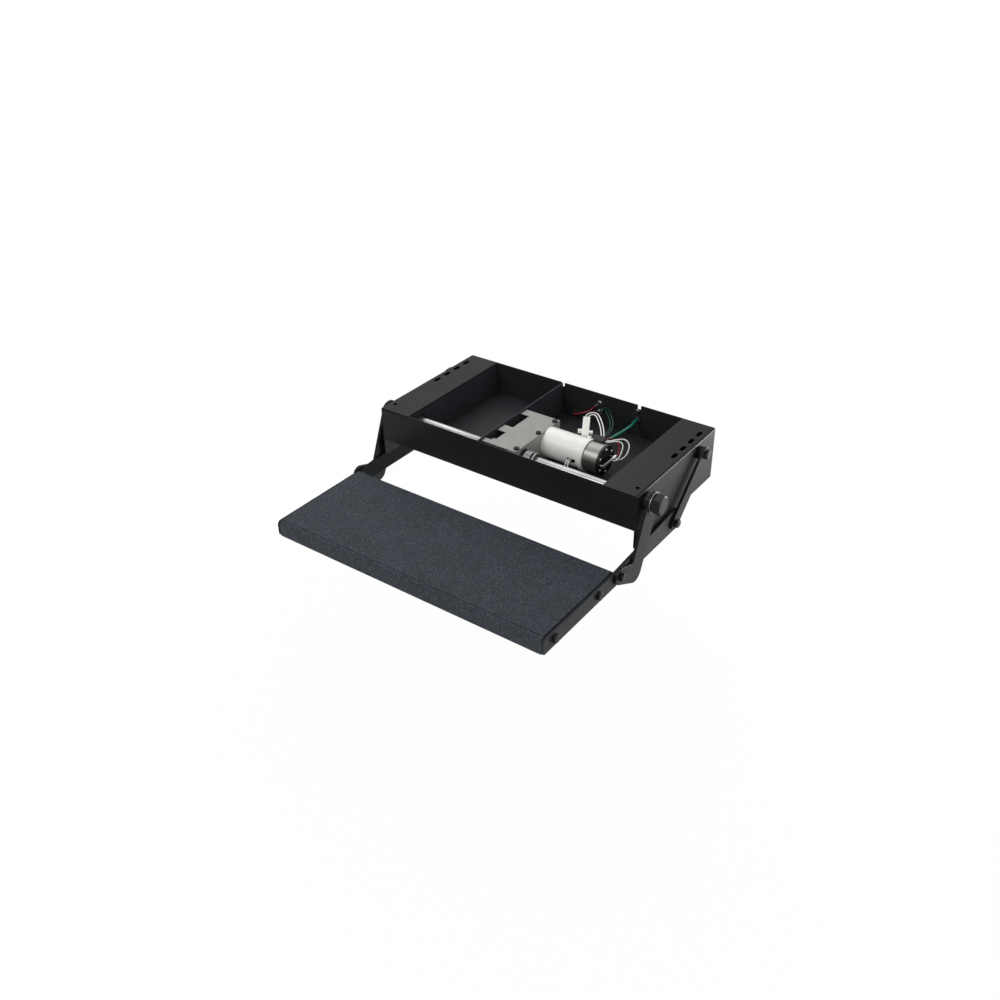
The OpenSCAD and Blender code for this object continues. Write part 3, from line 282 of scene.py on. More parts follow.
# wiring: colour, diameter and route in mm, each run square out of its fitting and then in one easy curve
# white_loop_a and red_wire take wider corners than in the CAD, and the switch pair hangs steeper
wiring = {
    "white_wire_a": ("white", 2.6, [
        (61.37, 180.77, -9), (57.44, 187.74, -9), (56, 197.5, -8), (61, 206, -6.5), (71, 208, -6),
        (84, 199, -6), (99, 183, -7), (113, 166, -8), (124, 150, -9), (129, 141, -10), (129, 132, -10)]),
    "white_wire_b": ("white", 2.6, [
        (66.6, 183.71, -9), (63.16, 189.81, -9), (63, 196.5, -8), (68, 200.5, -6.5), (76, 197.5, -6),
        (90, 184, -7), (105, 167, -8), (116, 152, -9), (123, 141, -10), (123, 132, -10)]),
    "white_loop_a": ("white", 2.6, [
        (142, 124, -9), (148, 124, -9), (158, 131, -7.5), (168, 137, -8), (175, 136, -12), (178.5, 128, -19),
        (180, 117.5, -26.6), (177.6, 110.4, -32.4), (174.2, 108.2, -33.9), (170, 108, -34)]),
    "white_loop_b": ("white", 2.6, [
        (142, 130, -9), (149, 130, -9), (160, 139, -6.5), (172, 147, -6), (182, 146, -10), (187.5, 138, -18),
        (188, 126, -27), (180, 117, -34), (170, 117, -34)]),
    "red_lead": ("red", 2.6, [
        (136, 132, -12), (136, 140, -12), (145, 149, -15), (158, 148, -21), (165, 141, -29), (168, 132, -34),
        (168, 124, -34)]),
    "red_wire": ("red", 2.6, [
        (-20, 272, -60), (-20, 268.4, -60), (-18.4, 264.4, -59.2), (-13.5, 261.3, -56.8), (0, 261, -50),
        (15.37, 267.8, -43.63), (23.15, 272.8, -35.85), (28.1, 272.8, -30.9)]),
    "green_wire_a": ("dark green", 2, [
        (47.12, 272.8, -31.32), (51.36, 272.8, -27.08), (63, 259, -25), (84, 234, -21), (104, 207, -18),
        (117, 182, -17), (121, 160, -16), (117, 145, -15), (117, 132, -15)]),
    "green_wire_b": ("dark green", 2, [
        (48.68, 272.8, -32.88), (55.04, 272.8, -26.51), (70, 260, -22), (90, 234, -17), (110, 207, -14),
        (123, 182, -13), (127, 162, -14.5), (123, 147, -16), (123, 132, -16)]),
    "green_cable": ("green", 6, [
        (133, 132, -20), (133, 146, -20), (136, 169, -21), (140, 200, -21), (139, 232, -24), (132, 252, -30),
        (130, 264, -31), (130, 272, -31)]),
    "switch_wire": ("white", 2.6, [
        (95, 71, -38), (95, 65, -38), (94.8, 58.5, -41.5), (94, 56, -50), (90, 54.5, -58.5), (80, 52.5, -63.5),
        (66, 50.5, -65), (56, 50, -64.5), (49, 50, -64)]),
    # second core of the switch pair, beside the first
    "switch_return": ("white", 2.6, [
        (99.5, 71, -38), (99.5, 64, -38), (100.5, 57, -41.5), (101.5, 54, -51), (97.5, 51.5, -60.5),
        (85, 48.5, -66), (69, 46, -67.5), (56, 45.5, -67), (49, 45.5, -66.5)]),
}
wireMake = {"steps": 36, "fineSteps": 24, "roundness": 3, "stiffFrom": 4}  # stiffFrom in mm across


# smooth line through all the given points, with even steps along it
# roots of the distances keep it from looping or swinging out where two points lie close
def easyCurve(points, steps):
    points = [Vector(p) for p in points]
    ends = [2 * points[0] - points[1]] + points + [2 * points[-1] - points[-2]]
    fine = []
    for a, b, c, d in zip(ends, ends[1:], ends[2:], ends[3:]):
        t0 = 0.0
        t1 = t0 + (b - a).length ** 0.5
        t2 = t1 + (c - b).length ** 0.5
        t3 = t2 + (d - c).length ** 0.5
        for i in range(wireMake["fineSteps"]):
            t = t1 + (t2 - t1) * i / wireMake["fineSteps"]
            ab = a.lerp(b, (t - t0) / (t1 - t0))
            bc = b.lerp(c, (t - t1) / (t2 - t1))
            cd = c.lerp(d, (t - t2) / (t3 - t2))
            before = ab.lerp(bc, (t - t0) / (t2 - t0))
            after = bc.lerp(cd, (t - t1) / (t3 - t1))
            fine.append(before.lerp(after, (t - t1) / (t2 - t1)))
    fine.append(points[-1])
    along = [0.0]
    for a, b in zip(fine, fine[1:]):
        along.append(along[-1] + (b - a).length)
    line, k = [], 0
    for i in range(steps + 1):
        goal = along[-1] * i / steps
        while k < len(fine) - 2 and along[k + 1] < goal:
            k += 1
        line.append(fine[k].lerp(fine[k + 1], (goal - along[k]) / (along[k + 1] - along[k])))
    return line


def camel(node):
    first, *rest = node.split("_")
    return first + "".join(word.capitalize() for word in rest)


def settle(piece, body, slot, *replaced):
    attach(piece, body)
    if replaced:
        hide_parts(*replaced)
    return piece


def layWires():
    for node, (colour, thick, route) in wiring.items():
        line = [p * mm for p in easyCurve(route, wireMake["steps"])]
        curve = bpy.data.curves.new(camel(node), "CURVE")
        curve.dimensions = "3D"
        curve.bevel_depth = thick / 2 * mm
        curve.bevel_resolution = wireMake["roundness"]
        curve.use_fill_caps = True
        spline = curve.splines.new("POLY")
        spline.points.add(len(line) - 1)
        for point, spot in zip(spline.points, line):
            point.co = (*spot, 1)
        spline.use_smooth = True
        curve.materials.append(insulation[colour])
        wire = addObject(camel(node), curve)
        settle(wire, "housing", colour.split()[-1] + "_insulation", *([node] if node in nodes else []))


layWires()
print("wires laid:", len(wiring))

weldReach = 1e-6  # m
flatAngle = math.radians(0.4)  # faces bent less than this count as one
rimAngle = math.radians(35)  # corners bent more than this are taken off
sharpAngle = math.radians(50)  # and beyond this the shading still breaks
rounding = {"offset_type": "OFFSET", "profile": 0.5, "affect": "EDGES"}


def weldedShape(node):
    shape = bmesh.new()
    shape.from_mesh(nodes[node].data)
    bmesh.ops.remove_doubles(shape, verts=shape.verts, dist=weldReach)
    return shape


# the CAD's own shading comes off, because the new corners shade by themselves
def meshFrom(shape, name):
    mesh = bpy.data.meshes.new(name)
    shape.to_mesh(mesh)
    shape.free()
    if "custom_normal" in mesh.attributes:
        mesh.attributes.remove(mesh.attributes["custom_normal"])
    return mesh


def smooth(mesh):
    mesh.shade_smooth()
    mesh.set_sharp_from_angle(angle=sharpAngle)


# copy of a CAD piece with its sharp corners taken off, as a press, saw or mould leaves them
def softened(node, edgeMm, finish, slot, where=None, skin=None, shift=None):
    shape = weldedShape(node)
    if shift:
        for corner in shape.verts:
            corner.co.x = shift(corner.co.x)
    bmesh.ops.dissolve_limit(shape, angle_limit=flatAngle, verts=shape.verts, edges=shape.edges)
    # the new corner faces are marked for the lighter edge tone: partly wear, partly painted highlight
    wornAndLit = shape.faces.layers.float.new("wornAndLitEdge")
    rims = [edge for edge in shape.edges if edge.is_manifold and edge.calc_face_angle() > rimAngle
            and (where is None or all(where(corner.co / mm) for corner in edge.verts))]
    made = bmesh.ops.bevel(shape, geom=rims, offset=edgeMm * mm, segments=2, clamp_overlap=True, **rounding)
    for face in made["faces"]:
        face[wornAndLit] = 1.0
    if skin:
        shape.normal_update()
        for face in shape.faces:
            face.material_index = int(skin["covers"](face.calc_center_median() / mm, face.normal))
    mesh = meshFrom(shape, camel(node))
    mesh.materials.append(finish)
    if skin:
        mesh.materials.append(skin["finish"])
    smooth(mesh)
    piece = addObject(camel(node), mesh)
    piece.modifiers.new("evenShading", "WEIGHTED_NORMAL").keep_sharp = True
    return settle(piece, bodyOf[node], slot, node)


def softenAll(group):
    for node, finish in group["finishes"].items():
        softened(node, group["edgeMm"], finish, group["slot"])


# inner walls, partition, floor pan and rear panel take the lighter trough copies: painted light
sheetMetal = {"edgeMm": 0.7, "slot": "black_steel",
              "finishes": {"left_side_panel": powderCoat, "right_side_panel": powderCoat,
                           "front_panel": powderCoat, "left_inner_wall": troughWalls,
                           "right_inner_wall": troughWalls, "partition": troughWalls,
                           "rear_panel": troughBack, "floor_pan": troughFloor}}
softenAll(sheetMetal)
print("housing sheet done")

linkage = {"edgeMm": 0.9, "slot": "black_steel",
           "finishes": {"left_front_arm": powderCoat, "right_front_arm": powderCoat,
                        "left_rear_arm": powderCoat, "right_rear_arm": powderCoat,
                        # left rail: the darker matt copy as painted shade; right rail: the lighter trough-floor
                        # copy as painted light on its side
                        "left_rail": shadedPowder, "right_rail": troughFloor}}
softenAll(linkage)
# the grit goes on round the nose and down the front of the folded deck, not underneath: end in mm, then normals
deck = {"edgeMm": 0.6, "noseEnd": -319.5, "under": -0.5, "front": -0.05, "top": 0.3}


def onNose(spot, way):
    return (spot.y < deck["noseEnd"] and way.z > deck["under"]
            and (way.y < deck["front"] or way.z > deck["top"]))


softened("tread_deck", deck["edgeMm"], powderCoat, "black_steel", skin={"finish": grit, "covers": onNose})
print("arms, rails and tread done")

coverSheet = {"edgeMm": 0.5, "slot": "galvanised_steel",
              # the motor plate takes the lighter galvanised copy: painted light
              "finishes": {"gear_cover": galvanised, "motor_plate": plateZinc}}
softenAll(coverSheet)

motorAxis = (99, -34)  # y and z, mm
motorCase = {"edgeMm": 0.8, "rimsBeyond": 28.5}
# the enamel stops at the skin: bore and wire slot walls are bare steel, drawn near black as painted shade
# inside the can
can = {"slotLow": (90.5, 60, -42.5), "slotHigh": (110, 75, -33.5), "bore": 28.3, "skin": 30.8, "alongBore": 0.5}
# in the photo the slot is longer and the lip sits further along the motor, so these x of the CAD are drawn out
canDraw = {90: 91, 98: 109.5, 103: 114, 110: 124}
canDrawNear = 0.01  # mm


def fromMotorAxis(spot):
    return math.hypot(spot.y - motorAxis[0], spot.z - motorAxis[1])


def onCaseSkin(spot):
    return fromMotorAxis(spot) > motorCase["rimsBeyond"]


def drawCan(x):
    return next((drawn * mm for cad, drawn in canDraw.items() if abs(x - cad * mm) < canDrawNear * mm), x)


def bareAndShaded(spot, way):
    reach = fromMotorAxis(spot)
    inSlot = all(low < place < high for low, place, high in zip(can["slotLow"], spot, can["slotHigh"]))
    return (reach < can["bore"] and abs(way.x) < can["alongBore"]) or (inSlot and reach < can["skin"])


softened("gear_can", motorCase["edgeMm"], whiteEnamel, "white_paint", onCaseSkin,
         {"finish": blackPhosphate, "covers": bareAndShaded}, drawCan)
softened("motor_housing", motorCase["edgeMm"], nickelCase, "bright_steel", onCaseSkin)

# edge taken off in mm, finish, slot
fittings = {
    "end_plate": (0.7, mouldedBlack, "black_plastic"),
    "terminal_block": (0.8, mouldedBlack, "black_plastic"),
    "limit_switch": (0.6, mouldedBlack, "black_plastic"),
    "connector": (0.8, nylon, "white_plastic"),
    "terminal_bridge": (0.5, nickelBrass, "bright_steel"),
    "drive_shaft": (0.6, zincPlate, "bright_steel"),
    "spring_collar": (0.5, washerZinc, "galvanised_steel"),
    "arm_washers": (0.3, washerZinc, "black_fastener"),
    "ring_terminals": (0.2, tinPlate, "tin"),
    "cable_grommets": (0.5, rubber, "black_rubber"),
}
for name, (edgeMm, finish, slot) in fittings.items():
    softened(name, edgeMm, finish, slot)

# moulded ears of the plug, and the sleeve of a spade end on the block and the can's lip: middle, size, turn
whiteMouldings = {"leftPlugEar": ((80.5, 131.5, -8.5), (9, 9, 6), 29.4),
                  "rightPlugEar": ((103, 135, -7), (8, 9, 6), 29.4),
                  "spadeSleeve": ((113, 112.8, -3.4), (9, 6, 4), 8)}
mouldedRound = 0.8  # mm


def moulding(name):
    middle, size, turn = whiteMouldings[name]
    place = (Matrix.Translation(Vector(middle) * mm) @ Matrix.Rotation(math.radians(turn), 4, "Z")
             @ Matrix.Diagonal((*(v * mm for v in size), 1)))
    shape = bmesh.new()
    bmesh.ops.create_cube(shape, size=1.0, matrix=place)
    bmesh.ops.bevel(shape, geom=list(shape.edges), offset=mouldedRound * mm, segments=3, **rounding)
    mesh = meshFrom(shape, name)
    mesh.materials.append(nylon)
    smooth(mesh)
    return settle(addObject(name, mesh), "housing", "white_plastic")


for name in whiteMouldings:
    moulding(name)
print("gear motor and fittings done")

# what stays as the CAD gives it, seen only through openings
plainNodes = {"outer_shaft_bushes": acetal, "inner_shaft_bushes": acetal, "crank_bush": acetal,
              "rear_pivot_nuts": blackPhosphate, "motor_magnets": ferrite, "armature": winding,
              "output_carrier": zincPlate, "upper_planet": zincPlate, "lower_planet": zincPlate,
              "drive_lever": galvanised, "motor_crank": galvanised, "drive_link": galvanised}
for name, finish in plainNodes.items():
    nodes[name].data.materials.clear()
    nodes[name].data.materials.append(finish)


# geometry nodes helper: a tree with named inputs, run on a base mesh and turned to a plain mesh
def grow(name, tree, base, values, body, slot, *replaced):
    holder = addObject(name + "Base", base)
    run = holder.modifiers.new("grow", "NODES")
    run.node_group = tree
    for item in tree.interface.items_tree:
        if item.in_out == "INPUT" and item.name in values:
            run[item.identifier] = values[item.name]
    holder.update_tag()
    ready = holder.evaluated_get(bpy.context.evaluated_depsgraph_get())
    mesh = bpy.data.meshes.new_from_object(ready)
    mesh.name = name
    bpy.data.objects.remove(holder)
    return settle(addObject(name, mesh), body, slot, *replaced)


def startTree(name, inputs):
    tree = bpy.data.node_groups.new(name, "GeometryNodeTree")
    for label, kind in inputs.items():
        tree.interface.new_socket(label, in_out="INPUT", socket_type="NodeSocket" + kind)
    tree.interface.new_socket("Made", in_out="OUTPUT", socket_type="NodeSocketGeometry")
    return tree, addNode(tree, "NodeGroupInput").outputs


def endTree(tree, made, finish):
    solid = addNode(tree, "GeometryNodeRealizeInstances", {"Geometry": made})
    dressed = addNode(tree, "GeometryNodeSetMaterial", {"Geometry": solid.outputs[0], "Material": finish})
    addNode(tree, "NodeGroupOutput", {0: dressed.outputs[0]})
    return tree


def lifted(tree, made, height):
    way = addNode(tree, "ShaderNodeCombineXYZ", {"Z": height})
    return addNode(tree, "GeometryNodeTransform", {"Geometry": made, "Translation": way.outputs[0]}).outputs[0]


# one on every spot, along the spot's own axis, each turned by chance as a spanner or driver leaves it
def onSpots(tree, given, made, mostTurn):
    axis = addNode(tree, "GeometryNodeInputNamedAttribute", {"Name": "axis"}, data_type="FLOAT_VECTOR")
    aim = addNode(tree, "FunctionNodeAlignRotationToVector", {"Vector": axis.outputs[0]}, axis="Z")
    angle = addNode(tree, "FunctionNodeRandomValue", {2: 0.0, 3: mostTurn, "Seed": given["Seed"]},
                    data_type="FLOAT")
    spin = addNode(tree, "FunctionNodeAxisAngleToRotation", {"Axis": (0, 0, 1), "Angle": angle.outputs[1]})
    turned = addNode(tree, "FunctionNodeRotateRotation", {0: aim.outputs[0], 1: spin.outputs[0]},
                     rotation_space="LOCAL")
    spots = addNode(tree, "GeometryNodeMeshToPoints", {"Mesh": given["Spots"]})
    placed = addNode(tree, "GeometryNodeInstanceOnPoints",
                     {"Points": spots.outputs[0], "Instance": made, "Rotation": turned.outputs[0]})
    return endTree(tree, placed.outputs[0], given["Finish"])


# hexagon heads with the turned chamfer that real ones have, each on its shank
hexShape = {"faceShare": 0.475, "coneSlope": 1.732, "coneSides": 48, "shankSides": 24, "mostTurn": 1.047}


def hexHeads():
    tree, given = startTree("hexHeads", {
        "Spots": "Geometry", "Across flats": "Float", "Head height": "Float", "Shank radius": "Float",
        "Shank length": "Float", "Seed": "Int", "Finish": "Material"})
    flats, height, length = given["Across flats"], given["Head height"], given["Shank length"]
    corner = reckon(tree, "MULTIPLY", flats, 1 / math.sqrt(3))
    prism = addNode(tree, "GeometryNodeMeshCylinder", {"Vertices": 6, "Radius": corner, "Depth": height})
    face = reckon(tree, "MULTIPLY", flats, hexShape["faceShare"])
    foot = reckon(tree, "MULTIPLY_ADD", height, hexShape["coneSlope"], face)
    cone = addNode(tree, "GeometryNodeMeshCone", {"Vertices": hexShape["coneSides"], "Radius Top": face,
                                                  "Radius Bottom": foot, "Depth": height})
    raised = lifted(tree, prism.outputs[0], reckon(tree, "MULTIPLY", height, 0.5))
    head = addNode(tree, "GeometryNodeMeshBoolean", {1: raised}, operation="INTERSECT", solver="EXACT")
    tree.links.new(cone.outputs[0], head.inputs[1])
    bar = addNode(tree, "GeometryNodeMeshCylinder", {"Vertices": hexShape["shankSides"],
                                                     "Radius": given["Shank radius"], "Depth": length})
    bolt = addNode(tree, "GeometryNodeJoinGeometry", {0: head.outputs[0]})
    tree.links.new(lifted(tree, bar.outputs[0], reckon(tree, "MULTIPLY", length, -0.5)), bolt.inputs[0])
    return onSpots(tree, given, bolt.outputs[0], hexShape["mostTurn"])


def spotMesh(name, spots):
    mesh = bpy.data.meshes.new(name)
    mesh.from_pydata([Vector(spot) * mm for spot, _ in spots], [], [])
    axis = mesh.attributes.new("axis", "FLOAT_VECTOR", "POINT")
    for i, (_, way) in enumerate(spots):
        axis.data[i].vector = way
    return mesh


# the same spots left and right, looking outward, or inward with way -1
def bothSides(x, spots, way=1):
    return [((side * x, *spot), (side * way, 0, 0)) for side in (-1, 1) for spot in spots]


hexTree = hexHeads()
pivots = {"shaft": (11, -27), "rear": (214, -24), "foot": (-95, -127), "rail": (108, -124)}  # y and z, mm
railHoles = ((-299, -129.5), (-161, -129.5))  # y and z, mm
seats = {"shaft": 316, "pin": 314.25, "rail": 307.5, "nut": 300}  # x of the face under the head, mm
# across flats, head, shank radius and length, and spots in mm; black and phosphated where nothing else is said
hexRows = {
    "bigShaftBolt": {"node": "arm_bolts", "flats": 34, "head": 18, "shank": (6, 32), "seed": 4,
                     "spots": [((seats["shaft"], *pivots["shaft"]), (1, 0, 0))]},
    "flatShaftBolt": {"node": "arm_bolts", "flats": 24, "head": 6, "shank": (6, 32), "seed": 3,
                      "spots": [((-seats["shaft"], *pivots["shaft"]), (-1, 0, 0))]},
    "rearPivotBolts": {"node": "rear_pivot_bolts", "flats": 16, "head": 7, "shank": (6, 26), "seed": 7,
                       "spots": bothSides(seats["pin"], [pivots["rear"]])},
    "treadPins": {"node": "tread_pins", "flats": 15, "head": 7, "shank": (6, 11.7), "seed": 2,
                  "spots": bothSides(seats["pin"], [pivots["foot"], pivots["rail"]])},
    "railBolts": {"node": "rail_bolts", "flats": 15, "head": 7, "shank": (4, 13.5), "seed": 6,
                  "spots": bothSides(seats["rail"], railHoles)},
    "coverBolts": {"node": "cover_bolts", "flats": 10, "head": 3.4, "shank": (3, 4.5), "seed": 9,
                   "spots": [((22.5, y, -4), (0, 0, 1)) for y in (-3.5, 71, 128.5)]},
    "rearPanelScrews": {"node": "rear_panel_screws", "flats": 8.66, "head": 3, "shank": (2.5, 3.7), "seed": 5,
                        "finish": zincPlate, "slot": "bright_steel",
                        "spots": [((x, 274.3, z), (0, -1, 0)) for x, z in ((38, -21), (38, -42), (128, -13))]},
    # the nuts belong to the node that the bolts already replace
    "railNuts": {"node": "rail_bolts", "flats": 13, "head": 6, "shank": (4, 2), "seed": 8, "replaced": (),
                 "spots": bothSides(seats["nut"], railHoles, -1)},
}
for name, row in hexRows.items():
    shankRadius, shankLength = row["shank"]
    grow(name, hexTree, spotMesh(name + "Spots", row["spots"]),
         {"Across flats": row["flats"] * mm, "Head height": row["head"] * mm, "Shank radius": shankRadius * mm,
          "Shank length": shankLength * mm, "Seed": row["seed"], "Finish": row.get("finish", blackPhosphate)},
         bodyOf[row["node"]], row.get("slot", "black_fastener"), *row.get("replaced", (row["node"],)))

# round heads with a driver slot, in the motor's end plate, in mm and degrees
endScrews = {"count": 6, "first": 30, "ring": 24, "x": 160, "radius": 3, "height": 2.5, "slot": 0.8, "seed": 3}
screwShape = {"sides": 20, "rings": 12, "bladeShare": 3.0, "mostTurn": 3.14}


def slottedScrews():
    tree, given = startTree("slottedScrews", {
        "Spots": "Geometry", "Head radius": "Float", "Head height": "Float", "Slot width": "Float",
        "Seed": "Int", "Finish": "Material"})
    radius, height = given["Head radius"], given["Head height"]
    ball = addNode(tree, "GeometryNodeMeshUVSphere", {"Segments": screwShape["sides"],
                                                      "Rings": screwShape["rings"], "Radius": radius})
    tall = reckon(tree, "DIVIDE", height, radius)
    squat = addNode(tree, "ShaderNodeCombineXYZ", {"X": 1.0, "Y": 1.0, "Z": tall})
    dome = addNode(tree, "GeometryNodeTransform", {"Geometry": ball.outputs[0], "Scale": squat.outputs[0]})
    wide = reckon(tree, "MULTIPLY", radius, screwShape["bladeShare"])
    size = addNode(tree, "ShaderNodeCombineXYZ", {"X": wide, "Y": given["Slot width"], "Z": height})
    blade = addNode(tree, "GeometryNodeMeshCube", {"Size": size.outputs[0]})
    cutter = lifted(tree, blade.outputs[0], height)
    head = addNode(tree, "GeometryNodeMeshBoolean", {0: dome.outputs[0], 1: cutter}, operation="DIFFERENCE",
                   solver="EXACT")
    return onSpots(tree, given, head.outputs[0], screwShape["mostTurn"])


def endScrewSpots():
    spots = []
    for i in range(endScrews["count"]):
        angle = math.radians(endScrews["first"] + 360 * i / endScrews["count"])
        y = motorAxis[0] + endScrews["ring"] * math.cos(angle)
        z = motorAxis[1] + endScrews["ring"] * math.sin(angle)
        spots.append(((endScrews["x"], y, z), (1, 0, 0)))
    return spots


grow("endPlateScrews", slottedScrews(), spotMesh("endScrewSpots", endScrewSpots()),
     {"Head radius": endScrews["radius"] * mm, "Head height": endScrews["height"] * mm,
      "Slot width": endScrews["slot"] * mm, "Seed": endScrews["seed"], "Finish": nickelBrass},
     "housing", "bright_steel", "end_plate_screws")
print("bolts and screws done")

# spring wire swept along its own line, in mm and degrees, with a short tail at each end
spring = {"start": 35.75, "curls": 4, "rise": 3.6, "coil": 14.5, "wire": 1.5, "perTurn": 40, "wireSides": 14,
          "tailTurn": (6, 9, 10, 10), "tailRise": (0.8, 2, 3.5, 5)}


def sweptWire():
    tree, given = startTree("sweptWire", {"Line": "Geometry", "Wire radius": "Float", "Finish": "Material"})
    line = addNode(tree, "GeometryNodeMeshToCurve", {"Mesh": given["Line"]})
    ring = addNode(tree, "GeometryNodeCurvePrimitiveCircle", {"Resolution": spring["wireSides"],
                                                              "Radius": given["Wire radius"]})
    tube = addNode(tree, "GeometryNodeCurveToMesh", {"Curve": line.outputs[0], "Profile Curve": ring.outputs[0],
                                                     "Fill Caps": True})
    return endTree(tree, tube.outputs[0], given["Finish"])


def springLine():
    start, coil = spring["start"], spring["coil"]
    steps = spring["curls"] * spring["perTurn"]
    climb = spring["curls"] * spring["rise"]
    whole = 360 * spring["curls"]
    tail = list(zip(spring["tailRise"], spring["tailTurn"]))
    turns = [(start - r, -a) for r, a in reversed(tail)]
    turns += [(start + climb * i / steps, whole * i / steps) for i in range(steps + 1)]
    turns += [(start + climb + r, whole + a) for r, a in tail]
    y, z = pivots["shaft"]
    spots = []
    for x, turn in turns:
        angle = math.radians(turn)
        spots.append(Vector((x, y + coil * math.cos(angle), z + coil * math.sin(angle))) * mm)
    mesh = bpy.data.meshes.new("springLine")
    mesh.from_pydata(spots, [(i, i + 1) for i in range(len(spots) - 1)], [])
    return mesh


wound = grow("shaftSpring", sweptWire(), springLine(),
             {"Wire radius": spring["wire"] * mm, "Finish": springSteel},
             bodyOf["shaft_spring"], "bright_steel", "shaft_spring")
smooth(wound.data)
print("spring wound")

# grit grains bedded in the sheet, each with its own tone: shapes are shares of the grain's size
gripSheet = {"perSquareMetre": 60000, "smallMm": 0.35, "largeMm": 0.75, "seed": 11, "topNormal": 0.9,
             "shapes": ((0.6, 0.6, 0.6), (1.3, 1.3, 1.0)), "mostTurn": (6.28, 6.28, 6.28)}


def grainField():
    tree, given = startTree("grainField", {
        "Sheet": "Geometry", "Grains per square metre": "Float", "Smallest": "Float", "Largest": "Float",
        "Seed": "Int", "Finish": "Material"})

    def chance(kind, ports):
        made = addNode(tree, "FunctionNodeRandomValue", {**ports, "Seed": given["Seed"]}, data_type=kind)
        return made.outputs[0 if kind == "FLOAT_VECTOR" else 1]

    normal = addNode(tree, "GeometryNodeInputNormal")
    split = addNode(tree, "ShaderNodeSeparateXYZ", {0: normal.outputs[0]})
    top = addNode(tree, "FunctionNodeCompare", {0: split.outputs["Z"], 1: gripSheet["topNormal"]},
                  data_type="FLOAT", operation="GREATER_THAN")
    spread = addNode(tree, "GeometryNodeDistributePointsOnFaces",
                     {"Mesh": given["Sheet"], "Selection": top.outputs[0],
                      "Density": given["Grains per square metre"], "Seed": given["Seed"]},
                     distribute_method="RANDOM")
    grain = addNode(tree, "GeometryNodeMeshIcoSphere", {"Radius": 1.0, "Subdivisions": 1})
    turn = chance("FLOAT_VECTOR", {0: (0, 0, 0), 1: gripSheet["mostTurn"]})
    size = chance("FLOAT", {2: given["Smallest"], 3: given["Largest"]})
    shape = chance("FLOAT_VECTOR", dict(enumerate(gripSheet["shapes"])))
    scale = addNode(tree, "ShaderNodeVectorMath", {0: shape, "Scale": size}, operation="SCALE")
    placed = addNode(tree, "GeometryNodeInstanceOnPoints",
                     {"Points": spread.outputs[0], "Instance": grain.outputs[0], "Rotation": turn,
                      "Scale": scale.outputs[0]})
    tone = chance("FLOAT", {2: 0.0, 3: 1.0})
    toned = addNode(tree, "GeometryNodeStoreNamedAttribute",
                    {"Geometry": placed.outputs[0], "Name": "grainTone", "Value": tone},
                    data_type="FLOAT", domain="INSTANCE")
    both = addNode(tree, "GeometryNodeJoinGeometry", {0: given["Sheet"]})
    tree.links.new(toned.outputs[0], both.inputs[0])
    return endTree(tree, both.outputs[0], given["Finish"])


grow("gripSheet", grainField(), meshFrom(weldedShape("tread_grip"), "gripSheetBase"),
     {"Grains per square metre": gripSheet["perSquareMetre"], "Smallest": gripSheet["smallMm"] * mm,
      "Largest": gripSheet["largeMm"] * mm, "Seed": gripSheet["seed"], "Finish": grit},
     "tread", "grit", "tread_grip")
print("grit laid")

# studio: white to the eye and nearly so in reflections, dimmer as a light of its own
sky = {"light": 0.4, "inGloss": 0.72, "seen": 1.0}
# pale floor well below the step, in m: a shade off white near it, and white further out
paperFloor = {"z": -0.42, "half": 15, "near": 0.97, "fade": (0.7, 1.6), "tone": "#f4f4f2"}
# soft light from above, behind and in front, and a low strip along the right side: W, size, spot and aim in m
lamps = {"back": (19, (2.0, 1.6), (-1.0, 0.9, 1.6), (0, 0, -0.05)),
         "front": (24, (1.6, 1.2), (-0.5, -1.6, 1.7), (0, 0, -0.05)),
         "strip": (19, (1.2, 0.25), (0.85, 0.95, -0.2), (0.3, 0.0, -0.07))}
plainWhite = (1, 1, 1, 1)


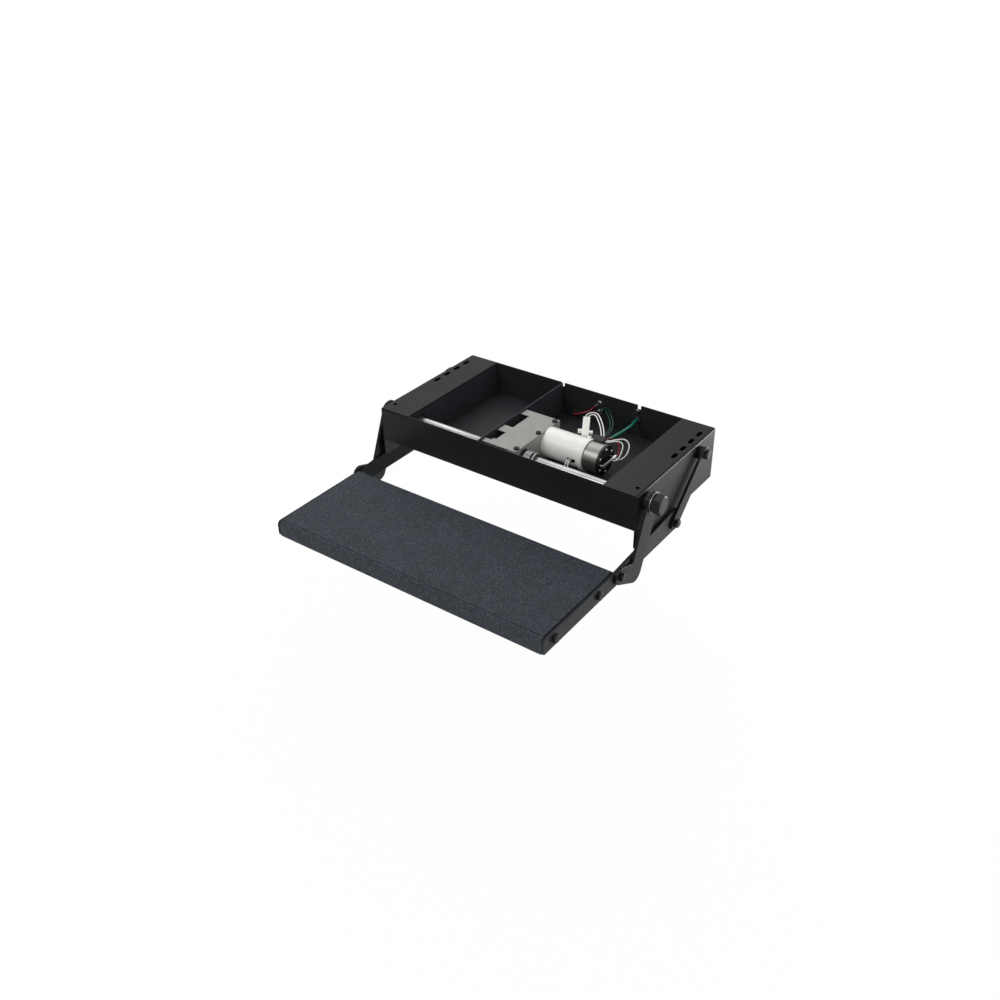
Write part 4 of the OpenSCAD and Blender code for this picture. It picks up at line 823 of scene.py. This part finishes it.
def setSky():
    scene.world = bpy.data.worlds.new("studio")
    scene.world.use_nodes = True
    tree = scene.world.node_tree
    tree.nodes.clear()
    path = addNode(tree, "ShaderNodeLightPath").outputs
    level = mapped(tree, path["Is Camera Ray"], 0.0, 1.0, sky["light"], sky["seen"])
    level = mapped(tree, path["Is Glossy Ray"], 0.0, 1.0, level, sky["inGloss"])
    glow = addNode(tree, "ShaderNodeBackground", {"Color": plainWhite, "Strength": level})
    addNode(tree, "ShaderNodeOutputWorld", {"Surface": glow.outputs[0]})


def layFloor():
    half, z = paperFloor["half"], paperFloor["z"]
    mesh = bpy.data.meshes.new("floor")
    corners = [(-half, -half, z), (half, -half, z), (half, half, z), (-half, half, z)]
    mesh.from_pydata(corners, [], [(0, 1, 2, 3)])
    paper = bpy.data.materials.new("whiteStudioPaper")
    paper.use_nodes = True
    tree = paper.node_tree
    tree.nodes.clear()
    path = addNode(tree, "ShaderNodeLightPath").outputs
    seen = reckon(tree, "MAXIMUM", path["Is Camera Ray"], path["Is Glossy Ray"])
    spot = addNode(tree, "ShaderNodeTexCoord").outputs["Object"]
    far = addNode(tree, "ShaderNodeVectorMath", {0: spot}, operation="LENGTH").outputs["Value"]
    fade = mapped(tree, far, *paperFloor["fade"], paperFloor["near"], 1.0, interpolation_type="SMOOTHSTEP")
    matt = addNode(tree, "ShaderNodeBsdfDiffuse", {"Color": toLinear(paperFloor["tone"])})
    white = addNode(tree, "ShaderNodeEmission", {"Color": plainWhite, "Strength": 1.0})
    both = addNode(tree, "ShaderNodeMixShader", {0: reckon(tree, "MULTIPLY", seen, fade), 1: matt.outputs[0],
                                                 2: white.outputs[0]})
    addNode(tree, "ShaderNodeOutputMaterial", {"Surface": both.outputs[0]})
    mesh.materials.append(paper)
    addObject("floor", mesh)


def hangLamps():
    for name, (watts, size, spot, aim) in lamps.items():
        lamp = bpy.data.lights.new(name, "AREA")
        lamp.energy = watts
        lamp.shape = "RECTANGLE"
        lamp.size, lamp.size_y = size
        holder = addObject(name, lamp)
        holder.visible_camera = False
        holder.location = spot
        holder.rotation_euler = (Vector(aim) - Vector(spot)).to_track_quat("-Z", "Y").to_euler()


setSky()
layFloor()
hangLamps()
print("studio lit")
